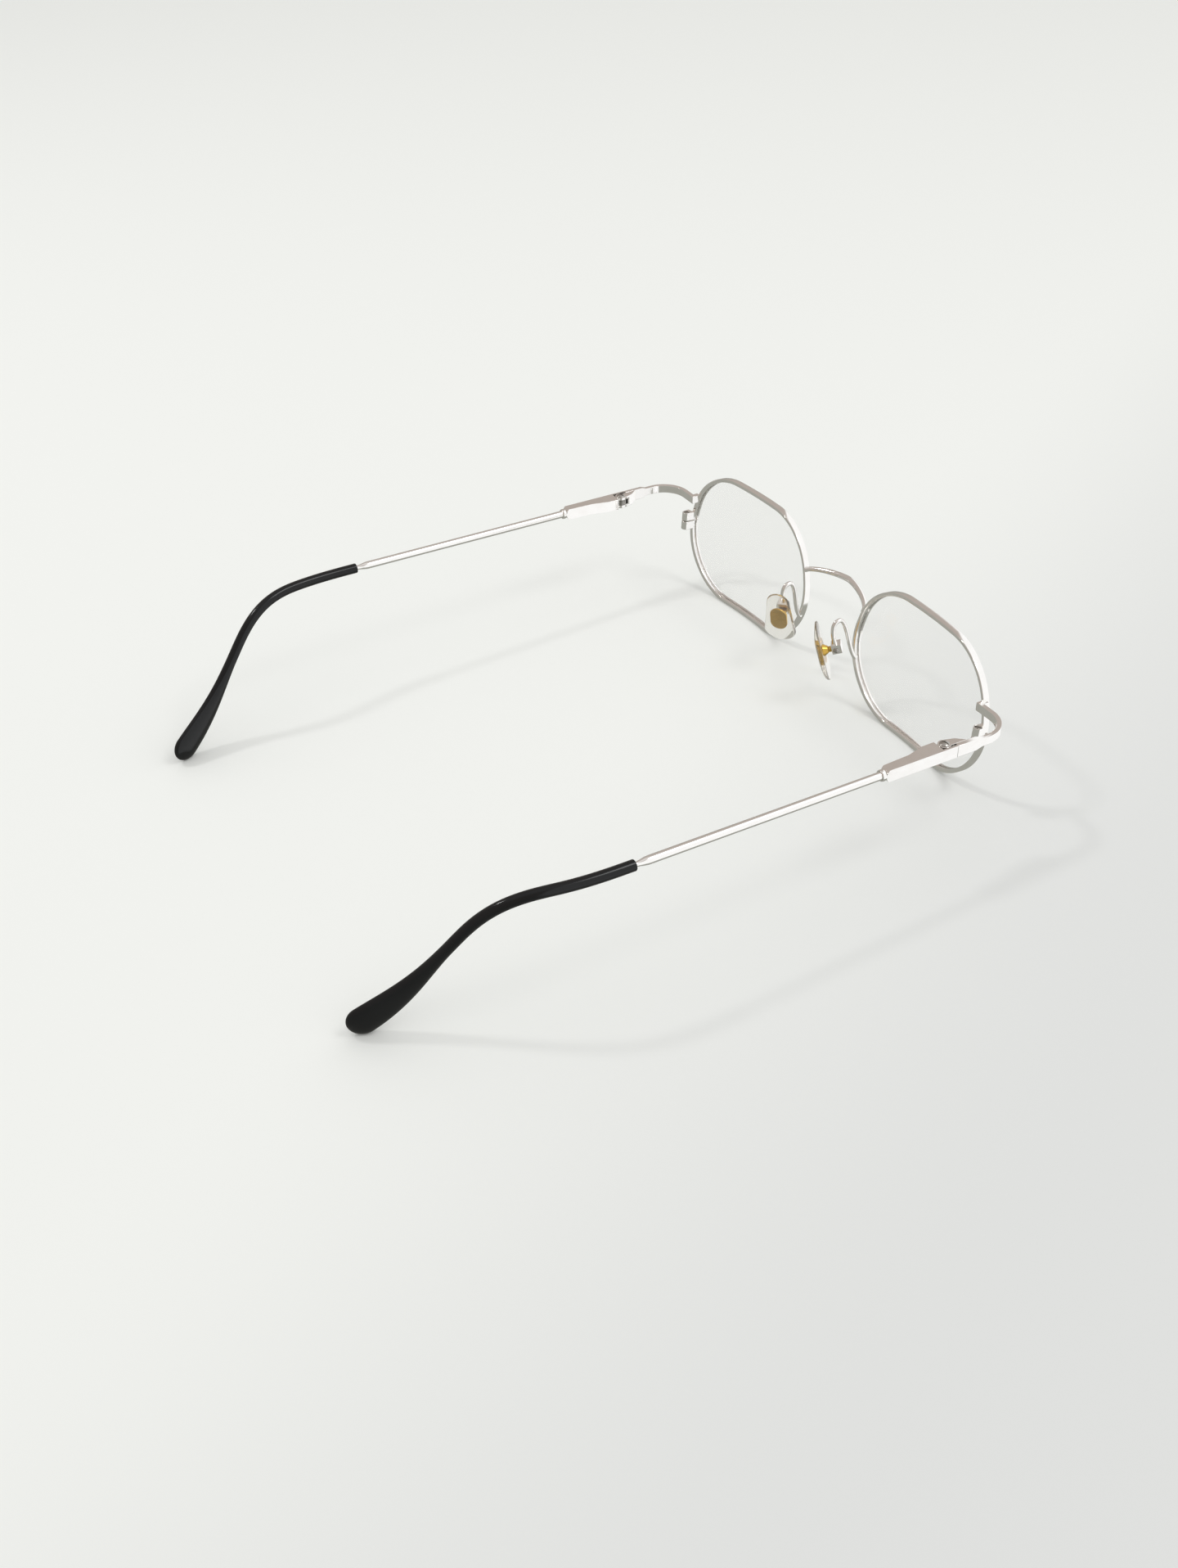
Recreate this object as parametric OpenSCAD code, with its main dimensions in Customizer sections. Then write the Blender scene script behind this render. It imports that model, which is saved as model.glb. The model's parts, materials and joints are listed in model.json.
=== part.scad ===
// Full-rim wire spectacles with sprung temple hinges and rocking nose pads, standing open.
// Lengths are in millimetres and angles in degrees. The wearer's left is +X and the front faces -Y.
// The ground is z = 0, and the origin is under the middle of the open frame.

/* [Lens outline] */
// Width of the lens opening in the rim
lens_w = 45.6; // [45.2:0.1:50]
// Height of the lens opening in the rim
lens_h = 31; // [30.8:0.1:35]
// Radius of the six corner arcs of the lens opening
corner_r = 14.5; // [12.5:0.1:14.6]
// Distance between the centres of the two upper corner arcs
top_flat = 15.8; // [12:0.1:16.2]
// Distance between the centres of the two lower corner arcs
bottom_flat = 15.6; // [12:0.1:16.2]
// How far the side corner arcs lie below the lens centre
side_drop = 0.5; // [0.1:0.05:0.6]
// Radius of the sphere that the lenses and rims follow
base_r = 105; // [85:1:160]

/* [Lens and rim] */
// Thickness of the lens
lens_t = 1.1; // [0.9:0.05:1.3]
// Gap between the lens and the rim's groove
lens_clearance = 0.03; // [0.01:0.01:0.06]
// Thickness of the rim wire, measured outward from the lens
rim_t = 0.9; // [0.75:0.05:1.3]
// Depth of the rim wire from front to back
rim_d = 1.4; // [1.2:0.05:2]
// Width of the groove that holds the lens edge
groove_w = 0.6; // [0.4:0.05:0.8]
// Depth of the groove that holds the lens edge
groove_d = 0.35; // [0.2:0.05:0.5]

/* [Front] */
// Clear distance between the two rims at the nose
rim_gap = 19.6; // [17:0.1:24]
// Angle by which the outer side of each rim turns back
wrap = 2.6; // [0:0.1:6]
// Angle by which the top of the front leans forward
lean = 6.6; // [2:0.1:10]
// Distance between the outer faces of the two end pieces
front_w = 132; // [130:0.5:140]
// Distance from the rims back to the hinge screws
hinge_back = 20.9; // [18:0.1:24]

/* [Bridge] */
// Diameter of the bridge wire at its middle
bridge_d = 1.4; // [1.1:0.05:2]
// Diameter of the bridge wire at the rims
bridge_end_d = 1.1; // [0.8:0.05:1.3]
// Angle up the rim's nose side at which the bridge is joined
bridge_angle = 21; // [18:1:40]
// How far the middle of the bridge stands in front of the rims
bridge_forward = 3.2; // [1:0.1:5]
// Height of the middle of the bridge above the lens centre
bridge_rise = 8; // [6.5:0.1:10]
// Roundness of the bridge arch, where 2 is an ellipse
bridge_power = 1.5; // [1.3:0.05:2]

/* [Closing block] */
// Width of the closing block and diameter of its rounded back
closing_w = 2; // [1.8:0.05:2.6]
// Height of each half of the closing block
closing_half_h = 2.15; // [1.8:0.05:3]
// Slit in the rim between the two halves
closing_slit = 0.3; // [0.2:0.05:0.5]
// Clearance between the strap's lower edge and the closing block's top
closing_under = 3.25; // [1:0.05:5]
// Distance from the rim's back to the closing screw's axis
closing_back = 1.6; // [1.3:0.05:2]
// Diameter of the closing screw
closing_screw_d = 1.1; // [0.8:0.05:1.2]
// Diameter of the closing screw's head
closing_head_d = 1.5; // [1.3:0.05:1.6]
// Height of the closing screw's head, which is sunk into the upper half
closing_head_h = 0.6; // [0.4:0.05:0.9]

/* [End piece] */
// Thickness of the end piece strap
strap_t = 1; // [0.8:0.05:1.05]
// Height of the end piece strap beside the rim
strap_h = 1.9; // [1.5:0.05:2.4]
// Outer radius of the end piece's bend
strap_bend_r = 6.8; // [5:0.1:7.5]
// Distance by which the strap stands behind the rim, on its soldered foot
strap_stand = 0.8; // [0.2:0.05:1.2]
// Width of the strap's foot
foot_w = 1.3; // [1:0.1:2]
// Distance by which the foot laps round the rim's outer corner
foot_lap = 0.4; // [0.2:0.05:0.8]
// Distance from the hinge screw forward to the shoulder, where the strap grows to the hinge's height
shoulder_reach = 6.9; // [6:0.1:8]
// Length over which the strap's height grows at the shoulder
shoulder_len = 1.3; // [0.5:0.1:2]

/* [Hinge] */
// Height of the hinge and of the temple box
hinge_h = 2.8; // [2.6:0.05:3.6]
// Height of the slider's eye between the two plates of the fork
eye_h = 1.3; // [1.1:0.05:1.5]
// Radius of the fork's knuckle and of the slider's eye
knuckle_r = 1.4; // [1.3:0.05:1.45]
// Distance from the hinge screw out to the outer face of the temple box
pivot_in = 2; // [1.95:0.05:2.4]
// Distance from the hinge screw forward to the split between end piece and temple box
split_ahead = 2; // [1.8:0.05:2.2]
// Gap at that split
split_gap = 0.06; // [0.04:0.01:0.15]
// Gap beside a part that turns in the hinge
turn_gap = 0.05; // [0.03:0.01:0.08]
// Length of the fork's root, from the hinge screw forward
root_len = 4.9; // [4:0.1:6]
// Diameter of the hinge screw
hinge_screw_d = 1.2; // [1:0.05:1.3]
// Diameter of the hinge screw's domed head
hinge_head_d = 2.1; // [1.8:0.05:2.4]
// Height of the hinge screw's domed head
hinge_head_h = 0.45; // [0.3:0.05:0.7]
// Wall thickness of the hinge bush
bush_wall = 0.22; // [0.15:0.01:0.25]
// Radial gap of the turning and threaded fits
fit_gap = 0.03; // [0.01:0.01:0.05]

/* [Temple box and slider] */
// Length of the temple box behind the hinge screw
box_len = 15.6; // [14.6:0.1:18]
// Thickness of the temple box's outer wall beside the hinge
box_wall = 0.5; // [0.4:0.05:0.55]
// Distance from the hinge screw inward to the box's inner face at the front
box_in = 1.5; // [1.45:0.05:2]
// Distance from the hinge screw inward to the box's inner face at the back
box_rear_in = 0.1; // [0.05:0.05:0.3]
// Width of the flat slider bar
bar_w = 0.9; // [0.6:0.05:0.95]
// Distance from the hinge screw back to the end of the slider bar
bar_len = 4.6; // [4:0.1:5.4]
// Free travel of the slider in its channel
slide_room = 0.6; // [0.45:0.05:0.9]
// Diameter of the slider's rod
rod_d = 0.7; // [0.5:0.05:0.75]
// Distance from the hinge screw back to the spring's seat
spring_seat = 7; // [6.5:0.1:7.5]
// Length of the spring at rest
spring_len = 6; // [5:0.1:6.2]
// Number of turns of the spring
spring_turns = 7; // [5:1:9]
// Diameter of the spring's wire
spring_wire_d = 0.2; // [0.14:0.02:0.22]
// Diameter of the spring's chamber
chamber_d = 1.4; // [1.3:0.05:1.5]
// Length of the stop behind the spring
stop_len = 0.8; // [0.5:0.1:1]

/* [Temple wire] */
// Diameter of the temple wire
wire_d = 1.76; // [1.4:0.02:1.9]
// Outer diameter of the collar at the back of the temple box
collar_d = 2.5; // [2.2:0.05:2.7]
// Length of the collar
collar_len = 0.9; // [0.6:0.1:1.4]
// Length of the wire's spigot inside the temple box
spigot_len = 1.2; // [0.8:0.1:1.3]
// Distance from the hinge screw back to the front of the temple tip
tip_start = 71.9; // [65:0.5:80]
// Length of the taper where the wire narrows ahead of the tip
neck_len = 3; // [2:0.1:5]
// Diameter of the wire's core inside the tip
core_d = 1; // [0.8:0.05:1.3]
// Length of the wire's core inside the tip
core_len = 50; // [30:1:54]
// Angle by which the temples rise towards the back
temple_rise = 2.4; // [1:0.1:4]

/* [Temple tip] */
// Length of the temple tip along its curve
tip_len = 65.6; // [60:0.2:72]
// Diameter of the round part of the tip
tip_d = 2.3; // [2.1:0.05:3]
// Thickness of the paddle at the tip's end
paddle_t = 2.2; // [1.8:0.05:2.8]
// Height of the paddle at the tip's end
paddle_h = 6.2; // [4:0.1:7]
// Distance along the tip at which the paddle starts to grow
paddle_start = 39; // [34:0.5:40]
// Distance over which the paddle grows
paddle_grow = 24; // [18:0.5:25]
// Distance by which the full paddle hangs below the tip's line
paddle_drop = 0.35; // [0:0.05:1]
// Length of the rounded end
paddle_round = 3.4; // [2:0.1:4]
// Angle by which the tip turns inward
inward_angle = 21.8; // [10:0.2:25]
// Distance over which the tip turns inward
inward_len = 33; // [25:0.5:45]
// Angle by which the tip bends down
bend_angle = 48.7; // [40:0.1:52]
// Distance along the tip at which the bend starts
bend_start = 14.5; // [12:0.5:16]
// Length of the bend
bend_len = 23.2; // [18:0.2:28]
// Angle by which the paddle lifts again after the bend
lift_angle = 14; // [5:0.5:16]
// Distance along the tip at which the lift starts
lift_start = 42; // [38:0.5:44]
// Length of the lift
lift_len = 20; // [14:0.5:22]

/* [Nose pads] */
// Distance between the two pad screws' middles
pad_spread = 21; // [19:0.1:23]
// Distance from the rims back to the pad screws
pad_back = 7.8; // [6.8:0.1:8.8]
// How far the pad screws lie below the lens centre
pad_drop = 1.2; // [0:0.1:2.5]
// Angle of the pads as seen from above, where 90 faces straight back
pad_yaw = 127.6; // [115:0.2:140]
// Angle by which the pads face down
pad_pitch = 15; // [4:0.5:18]
// Length of the nose pad
pad_len = 15; // [12:0.1:16]
// Width of the nose pad's wide end
pad_w = 7.8; // [6.5:0.1:8.5]
// Width of the nose pad's narrow end
pad_top_w = 5.4; // [4.5:0.1:6]
// Thickness of the nose pad
pad_t = 1.6; // [1.4:0.05:2]
// Radius of the pad's domed face
pad_dome_r = 23; // [22:0.5:40]
// Distance from the pad screw to the pad's back
pad_stand = 2.8; // [2.3:0.05:3.2]
// Width of the gold plate in the pad
plate_w = 3.9; // [3.4:0.1:4.2]
// Length of the gold plate in the pad
plate_len = 6.2; // [5:0.1:7]
// Thickness of the gold plate in the pad
plate_t = 0.7; // [0.4:0.05:0.9]
// Diameter of the boss on the gold plate
boss_d = 3.2; // [2.4:0.1:3.3]
// Gap between the pad's box and the boss, which lets the pad rock
boss_gap = 0.4; // [0.3:0.05:0.5]
// Thickness of the tab with the eye
tab_t = 1.3; // [1.1:0.05:1.5]
// Radius of the tab's eye
tab_r = 0.8; // [0.7:0.05:0.85]
// Wall thickness of the pad box
pad_box_wall = 0.5; // [0.35:0.05:0.6]
// Diameter of the pad screw
pad_screw_d = 0.8; // [0.6:0.05:0.9]
// Diameter of the pad screw's head
pad_head_d = 1.3; // [1.1:0.05:1.5]
// Height of the pad screw's head
pad_head_h = 0.4; // [0.3:0.05:0.6]

/* [Pad arms] */
// Diameter of the pad arm's wire
arm_d = 1; // [0.8:0.05:1.1]
// Angle down the rim's nose side at which the arm is joined
arm_angle = 20; // [10:1:30]
// Height of the arm's loop above the pad screw
loop_h = 6.6; // [5:0.1:8]
// How far the loop's top lies in front of the pad screw
loop_forward = 1.1; // [0:0.1:1.6]
// How far the loop's top lies nearer the nose than the pad screw
loop_in = 0.6; // [0:0.1:1]
// Half width of the loop's round top
loop_round = 2.3; // [1.8:0.1:2.8]

/* [Hidden] */

// Colours
metal = [0.84, 0.85, 0.86];
gold = [0.86, 0.67, 0.32];
black = [0.08, 0.08, 0.09];
clear = [0.8, 0.88, 0.92, 0.4];

// Fineness of round faces
fine = 48;
arc_fine = 160;
sphere_fine = 360;
// Faces that lie on one another keep this gap
seat = 0.01;
// The outline's flats lie this much inside its arcs, so that arc and flat cross cleanly
crossing = 0.002;
// Extra length of a cut past the face it opens
over = 1;

// Places
lens_x = rim_gap / 2 + (lens_w / 2 + rim_t) * cos(wrap);
half_h = lens_h / 2 + rim_t;
rim_front_y = base_r - sqrt(pow(base_r + rim_d / 2, 2) - half_h * half_h);
lens_z = half_h * cos(lean) - rim_front_y * sin(lean);
pivot_x = front_w / 2 - pivot_in;
strap_in = pivot_in - strap_t;
fork_slot = eye_h + 2 * turn_gap;
screw_bore_d = hinge_screw_d + 2 * fit_gap;
bush_d = screw_bore_d + 2 * bush_wall;
rod_x = (pivot_in - box_rear_in) / 2;
channel_end = bar_len + slide_room;
stop_at = spring_seat + spring_len;

// The outline's corner centres, counter-clockwise from the upper right
corners = [
    [top_flat / 2, lens_h / 2 - corner_r],
    [-top_flat / 2, lens_h / 2 - corner_r],
    [corner_r - lens_w / 2, -side_drop],
    [-bottom_flat / 2, corner_r - lens_h / 2],
    [bottom_flat / 2, corner_r - lens_h / 2],
    [lens_w / 2 - corner_r, -side_drop]
];
nose_upper = corners[1];
nose_side = corners[2];

function unit(v) = v / norm(v);
function smooth(t) = let (u = min(max(t, 0), 1)) u * u * (3 - 2 * u);
function turn_x(p, a) = [p[0], p[1] * cos(a) - p[2] * sin(a), p[1] * sin(a) + p[2] * cos(a)];
function turn_y(p, a) = [p[0] * cos(a) + p[2] * sin(a), p[1], p[2] * cos(a) - p[0] * sin(a)];
function turn_z(p, a) = [p[0] * cos(a) - p[1] * sin(a), p[0] * sin(a) + p[1] * cos(a), p[2]];

// Directions and points of the left lens and the left pad, in the front's own frame
function lens_dir(v) = turn_z(turn_x(v, lean), wrap);
function lens_point(p) = [lens_x, 0, lens_z] + lens_dir(p);
function on_shell(x, z, r) = [x, base_r - sqrt(r * r - x * x - z * z), z];
function pad_dir(v) = turn_z(turn_y(v, pad_pitch), pad_yaw);
pad_pivot = [pad_spread / 2, pad_back, lens_z - pad_drop];

// Tubes: rings of points round a path, closed at both ends. The end rings can lie in a given plane.
function heading(path, i) = unit(path[min(i + 1, len(path) - 1)] - path[max(i - 1, 0)]);
function ring(c, t, side, half, power) = let (
        u = unit(cross(t, side)),
        v = cross(u, t)
    ) [for (k = [0:1:half[2] - 1]) let (
        a = 360 * k / half[2],
        x = sign(cos(a)) * pow(abs(cos(a)), 2 / power),
        y = sign(sin(a)) * pow(abs(sin(a)), 2 / power)
    ) c + half[0] * x * u + half[1] * y * v];
function onto_plane(points, c, t, n) = [for (p = points) p - t * ((p - c) * n) / (t * n)];
function ring_faces(rings, sides, first) = [for (i = [0:1:rings - 2], k = [0:1:sides - 1]) let (
        a = first + i * sides + k,
        b = first + i * sides + (k + 1) % sides
    ) each [[a, b, b + sides], [a, b + sides, a + sides]]];
function cap(sides, first) = [for (k = [1:1:sides - 2]) [first, first + k + 1, first + k]];
function cap_back(sides, first) = [for (k = [1:1:sides - 2]) [first, first + k, first + k + 1]];

module solid_tube(rings) {
    sides = len(rings[0]);
    count = len(rings);
    faces = concat(
        cap(sides, 0),
        ring_faces(count, sides, 0),
        cap_back(sides, (count - 1) * sides));
    polyhedron([for (r = rings) each r], faces);
}

// Frames: the front's own frame has the lens centres on y = 0, and the part's origin is under its middle
tube_sides = 12;
module at_front() {
    translate([0, -mid_y, 0]) children();
}
module at_lens() {
    at_front() translate([lens_x, 0, lens_z]) rotate([lean, 0, wrap]) children();
}
module at_temple() {
    at_front() translate([pivot_x, hinge_back, pivot_z]) rotate([temple_rise, 0, 0]) children();
}
module at_pad() {
    at_front() translate(pad_pivot) rotate([0, pad_pitch, pad_yaw]) children();
}
module left() {
    children();
}
module right() {
    mirror([1, 0, 0]) children();
}

// Rim and lens: the outline cut through a spherical shell
function outline_points(grow) = [for (i = [0:5]) let (
        c = corners[i],
        before = c - corners[(i + 5) % 6],
        after = corners[(i + 1) % 6] - c
    ) each [for (e = [before, after]) c + (corner_r + grow) * unit([e[1], -e[0]])]];

module outline(grow) {
    polygon(outline_points(grow - crossing));
    for (c = corners) translate(c) circle(corner_r + grow, $fn = arc_fine);
}
module outline_prism(grow) {
    rotate([90, 0, 0]) linear_extrude(height = base_r / 4, center = true) outline(grow);
}
module base_ball(r) {
    translate([0, base_r, 0]) sphere(r, $fn = sphere_fine);
}
module shell_cut(grow, depth) {
    difference() {
        intersection() {
            outline_prism(grow);
            base_ball(base_r + depth / 2);
        }
        base_ball(base_r - depth / 2);
    }
}

// What the rim and lens fill, from the front to the rim's back
module rim_space() {
    difference() {
        outline_prism(rim_t + seat);
        base_ball(base_r - rim_d / 2 - seat);
    }
}

module rim() {
    color(metal) at_lens() difference() {
        shell_cut(rim_t, rim_d);
        outline_prism(0);
        shell_cut(groove_d, groove_w);
        translate([lens_w / 2 - over, -rim_d, closing_z - closing_slit / 2])
            cube([rim_t + 2 * over, 4 * rim_d + closing_back, closing_slit]);
    }
}

module lens() {
    color(clear) at_lens() {
        shell_cut(-lens_clearance, lens_t);
        shell_cut(groove_d - lens_clearance, groove_w - 2 * lens_clearance);
    }
}

// Closing block: two halves behind the outer side of the rim, drawn together by a screw
closing_x = lens_w / 2 + rim_t;
closing_h = 2 * closing_half_h + closing_slit;

module at_closing() {
    rear_y = on_shell(closing_x, closing_z, base_r - rim_d / 2)[1];
    at_lens() translate([closing_x, rear_y + closing_back, closing_z]) children();
}
module closing_half(up) {
    color(metal) difference() {
        intersection() {
            at_closing() mirror([0, 0, up ? 0 : 1]) translate([0, 0, closing_slit / 2])
                linear_extrude(height = closing_half_h) {
                    circle(closing_w / 2, $fn = fine);
                    translate([crossing - closing_w / 2, -closing_back - over])
                        square([closing_w - 2 * crossing, closing_back + over]);
                }
            at_lens() base_ball(base_r - rim_d / 2 - seat);
        }
        at_closing() {
            cylinder(h = closing_h + over, d = closing_screw_d + 2 * fit_gap, center = true, $fn = fine);
            translate([0, 0, closing_h / 2 - closing_head_h])
                cylinder(h = closing_head_h + over, d = closing_head_d + 2 * fit_gap, $fn = fine);
        }
    }
}
module closing_block_upper() {
    closing_half(true);
}
module closing_block_lower() {
    closing_half(false);
}
module closing_screw() {
    slot_w = closing_head_d / 5;
    color(metal) at_closing() difference() {
        union() {
            translate([0, 0, -closing_h / 2]) cylinder(h = closing_h, d = closing_screw_d, $fn = fine);
            translate([0, 0, closing_h / 2 - closing_head_h + seat])
                cylinder(h = closing_head_h, d = closing_head_d, $fn = fine);
        }
        translate([0, 0, closing_h / 2]) rotate([0, 0, 30])
            cube([closing_head_d + over, slot_w, closing_head_h], center = true);
    }
}

// Bridge: one arched wire between the rims' nose sides
bridge_steps = 14;
bridge_last = 80;
bridge_in = [nose_upper[0] - (corner_r + rim_t + seat) * cos(bridge_angle),
    nose_upper[1] + (corner_r + rim_t + seat) * sin(bridge_angle)];
bridge_foot = lens_point(on_shell(bridge_in[0], bridge_in[1], base_r - rim_d / 4));
bridge_normal = lens_dir([-cos(bridge_angle), 0, sin(bridge_angle)]);
bridge_top = [0, -bridge_forward, lens_z + bridge_rise];

function arch_x(a) = pow(sin(a), 2 / bridge_power) / pow(sin(bridge_last), 2 / bridge_power);
function arch_y(a) = (pow(cos(a), 2 / bridge_power) - pow(cos(bridge_last), 2 / bridge_power))
    / (1 - pow(cos(bridge_last), 2 / bridge_power));
function arch_point(a) = [bridge_foot[0] * arch_x(a),
    bridge_foot[1] + (bridge_top[1] - bridge_foot[1]) * arch_y(a),
    bridge_foot[2] + (bridge_top[2] - bridge_foot[2]) * arch_y(a)];
function flip(p) = [-p[0], p[1], p[2]];
bridge_half = [for (i = [0:1:bridge_steps]) arch_point(bridge_last * i / bridge_steps)];
bridge_path = concat([for (i = [bridge_steps:-1:1]) flip(bridge_half[i])], bridge_half);
bridge_rings = [for (i = [0:1:2 * bridge_steps]) let (
        c = bridge_path[i],
        t = heading(bridge_path, i),
        away = abs(i - bridge_steps) / bridge_steps,
        r = (bridge_d + (bridge_end_d - bridge_d) * smooth(away)) / 2,
        plain = ring(c, t, [0, 0, 1], [r, r, tube_sides], 2)
    ) i == 0 ? onto_plane(plain, c, t, flip(bridge_normal))
    : i == 2 * bridge_steps ? onto_plane(plain, c, t, bridge_normal) : plain];

module bridge() {
    color(metal) at_front() solid_tube(bridge_rings);
}

// End piece: a strap that runs outward from the rim's back, turns back and grows to the hinge's height
module end_piece() {
    root_x = top_flat / 2 + sqrt(pow(corner_r + rim_t / 2, 2) - pow(strap_z - lens_h / 2 + corner_r, 2));
    root = lens_point(on_shell(root_x, strap_z, base_r - rim_d / 2));
    reach_in = front_w / 2 - root[0];
    strap_reach = (hinge_back - root[1]) / cos(temple_rise) - strap_stand;
    bend_x = pivot_in - strap_bend_r;
    bend_y = strap_bend_r - strap_reach;
    color(metal) difference() {
        at_temple() {
            translate([0, 0, -strap_h / 2]) linear_extrude(height = strap_h) {
                intersection() {
                    translate([bend_x, bend_y]) difference() {
                        circle(strap_bend_r, $fn = arc_fine);
                        circle(strap_bend_r - strap_t, $fn = arc_fine);
                    }
                    translate([bend_x, bend_y - 2 * strap_bend_r]) square(2 * strap_bend_r);
                }
                translate([pivot_in - reach_in, -strap_reach]) square([reach_in - strap_bend_r, strap_t]);
                translate([pivot_in - reach_in, -strap_reach - strap_stand - foot_lap])
                    square([foot_w, strap_t / 2 + strap_stand + foot_lap]);
                translate([strap_in, bend_y]) square([strap_t, -shoulder_reach - bend_y]);
            }
            translate([strap_in, 0, 0]) rotate([90, 0, 90]) linear_extrude(height = strap_t) polygon([
                [-shoulder_reach - shoulder_len, -strap_h / 2],
                [-shoulder_reach, -hinge_h / 2],
                [-split_ahead, -hinge_h / 2],
                [-split_ahead, hinge_h / 2],
                [-shoulder_reach, hinge_h / 2],
                [-shoulder_reach - shoulder_len, strap_h / 2]
            ]);
        }
        at_lens() rim_space();
    }
}

// Front half of the hinge: a fork of two plates on a root behind the end piece
module hinge_front() {
    root_x = strap_in - seat;
    slot_from = -knuckle_r - 3 * turn_gap;
    color(metal) at_temple() difference() {
        translate([0, 0, -hinge_h / 2]) linear_extrude(height = hinge_h) {
            circle(knuckle_r, $fn = fine);
            polygon([
                [0, 0],
                [-0.93 * knuckle_r, -0.35 * knuckle_r],
                [-0.43 * knuckle_r, -0.6 * root_len],
                [root_x, -root_len],
                [root_x, -0.64 * knuckle_r]
            ]);
        }
        translate([-2 * knuckle_r, slot_from, -fork_slot / 2]) cube([4 * knuckle_r, 4 * knuckle_r, fork_slot]);
        cylinder(h = hinge_h + over, d = screw_bore_d, center = true, $fn = fine);
    }
}

module hinge_screw() {
    head_z = hinge_h / 2 + seat;
    dome_r = (pow(hinge_head_d / 2, 2) + hinge_head_h * hinge_head_h) / (2 * hinge_head_h);
    slot_w = hinge_head_d / 7;
    color(metal) at_temple() difference() {
        union() {
            translate([0, 0, -hinge_h / 2]) cylinder(h = hinge_h + 2 * seat, d = hinge_screw_d, $fn = fine);
            intersection() {
                translate([0, 0, head_z]) cylinder(h = hinge_head_h, d = hinge_head_d, $fn = fine);
                translate([0, 0, head_z + hinge_head_h - dome_r]) sphere(dome_r, $fn = arc_fine);
            }
        }
        translate([0, 0, head_z + hinge_head_h]) rotate([0, 0, 20])
            cube([hinge_head_d + over, slot_w, hinge_head_h], center = true);
    }
}

module hinge_bush() {
    color(gold) at_temple() difference() {
        cylinder(h = eye_h, d = bush_d, center = true, $fn = fine);
        cylinder(h = eye_h + over, d = screw_bore_d, center = true, $fn = fine);
    }
}

// Slider: an eye on the bush, a flat bar in the box's channel and a rod through the spring
module hinge_slider() {
    color(metal) at_temple() difference() {
        union() {
            cylinder(h = eye_h, r = knuckle_r, center = true, $fn = fine);
            translate([rod_x - bar_w / 2, 0, -eye_h / 2]) cube([bar_w, bar_len, eye_h]);
            translate([rod_x, bar_len - rod_d, 0]) rotate([-90, 0, 0])
                cylinder(h = stop_at + stop_len - bar_len + rod_d, d = rod_d, $fn = fine);
        }
        cylinder(h = eye_h + over, d = bush_d + 2 * fit_gap, center = true, $fn = fine);
    }
}

// Spring: one helix, flat against its seat and its stop
spring_ring_count = 8;
spring_sides = 5;
spring_r = (rod_d + chamber_d) / 4;
spring_path = [for (i = [0:1:spring_turns * spring_ring_count]) let (
        a = 360 * i / spring_ring_count,
        y = spring_wire_d / 2 + seat + (spring_len - spring_wire_d - 2 * seat) * i / (spring_turns * spring_ring_count)
    ) [rod_x + spring_r * cos(a), spring_seat + y, spring_r * sin(a)]];

module hinge_spring() {
    color(metal) at_temple() solid_tube([for (i = [0:1:len(spring_path) - 1])
        ring(spring_path[i], heading(spring_path, i), [0, 1, 0],
            [spring_wire_d / 2, spring_wire_d / 2, spring_sides], 2)]);
}

module spring_stop() {
    color(gold) at_temple() translate([rod_x, stop_at, 0]) rotate([-90, 0, 0]) difference() {
        cylinder(h = stop_len, d = chamber_d - 4 * fit_gap, $fn = fine);
        translate([0, 0, -over]) cylinder(h = stop_len + 2 * over, d = rod_d + 2 * seat, $fn = fine);
    }
}

// Temple box: outer wall beside the hinge, then a housing with channel, shoulder and spring chamber
module temple_box() {
    front_y = split_gap - split_ahead;
    mouth_y = knuckle_r + 2 * turn_gap;
    end_r = 0.7 * hinge_h;
    channel_w = bar_w + 2 * turn_gap;
    channel_h = eye_h + 2 * fit_gap;
    color(metal) at_temple() difference() {
        intersection() {
            translate([0, 0, -hinge_h / 2]) linear_extrude(height = hinge_h) polygon([
                [pivot_in, front_y],
                [pivot_in, box_len],
                [-box_rear_in, box_len],
                [-0.3 * box_in, 0.55 * box_len],
                [-box_in, 0.28 * box_len],
                [-box_in, mouth_y],
                [pivot_in - box_wall, mouth_y],
                [pivot_in - box_wall, front_y]
            ]);
            translate([-2 * pivot_in, 0, 0]) rotate([90, 0, 90]) linear_extrude(height = 4 * pivot_in) {
                translate([-2 * split_ahead, -hinge_h]) square([box_len - 0.5 * end_r + 2 * split_ahead, 2 * hinge_h]);
                translate([box_len - end_r, 0]) circle(end_r, $fn = fine);
            }
        }
        translate([rod_x - channel_w / 2, mouth_y - over, -channel_h / 2])
            cube([channel_w, channel_end - mouth_y + over, channel_h]);
        translate([rod_x, channel_end - over, 0]) rotate([-90, 0, 0])
            cylinder(h = box_len, d = rod_d + 2 * turn_gap, $fn = fine);
        translate([rod_x, spring_seat, 0]) rotate([-90, 0, 0]) cylinder(h = box_len, d = chamber_d, $fn = fine);
    }
}

module temple_collar() {
    color(metal) at_temple() translate([rod_x, box_len + seat, 0]) rotate([-90, 0, 0]) difference() {
        intersection() {
            cylinder(h = collar_len, d = collar_d, $fn = fine);
            translate([0, 0, collar_len / 2]) sphere(d = 1.04 * norm([collar_len, collar_d - 0.3]), $fn = arc_fine);
        }
        translate([0, 0, -over]) cylinder(h = collar_len + 2 * over, d = wire_d + 2 * fit_gap, $fn = fine);
    }
}

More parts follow.
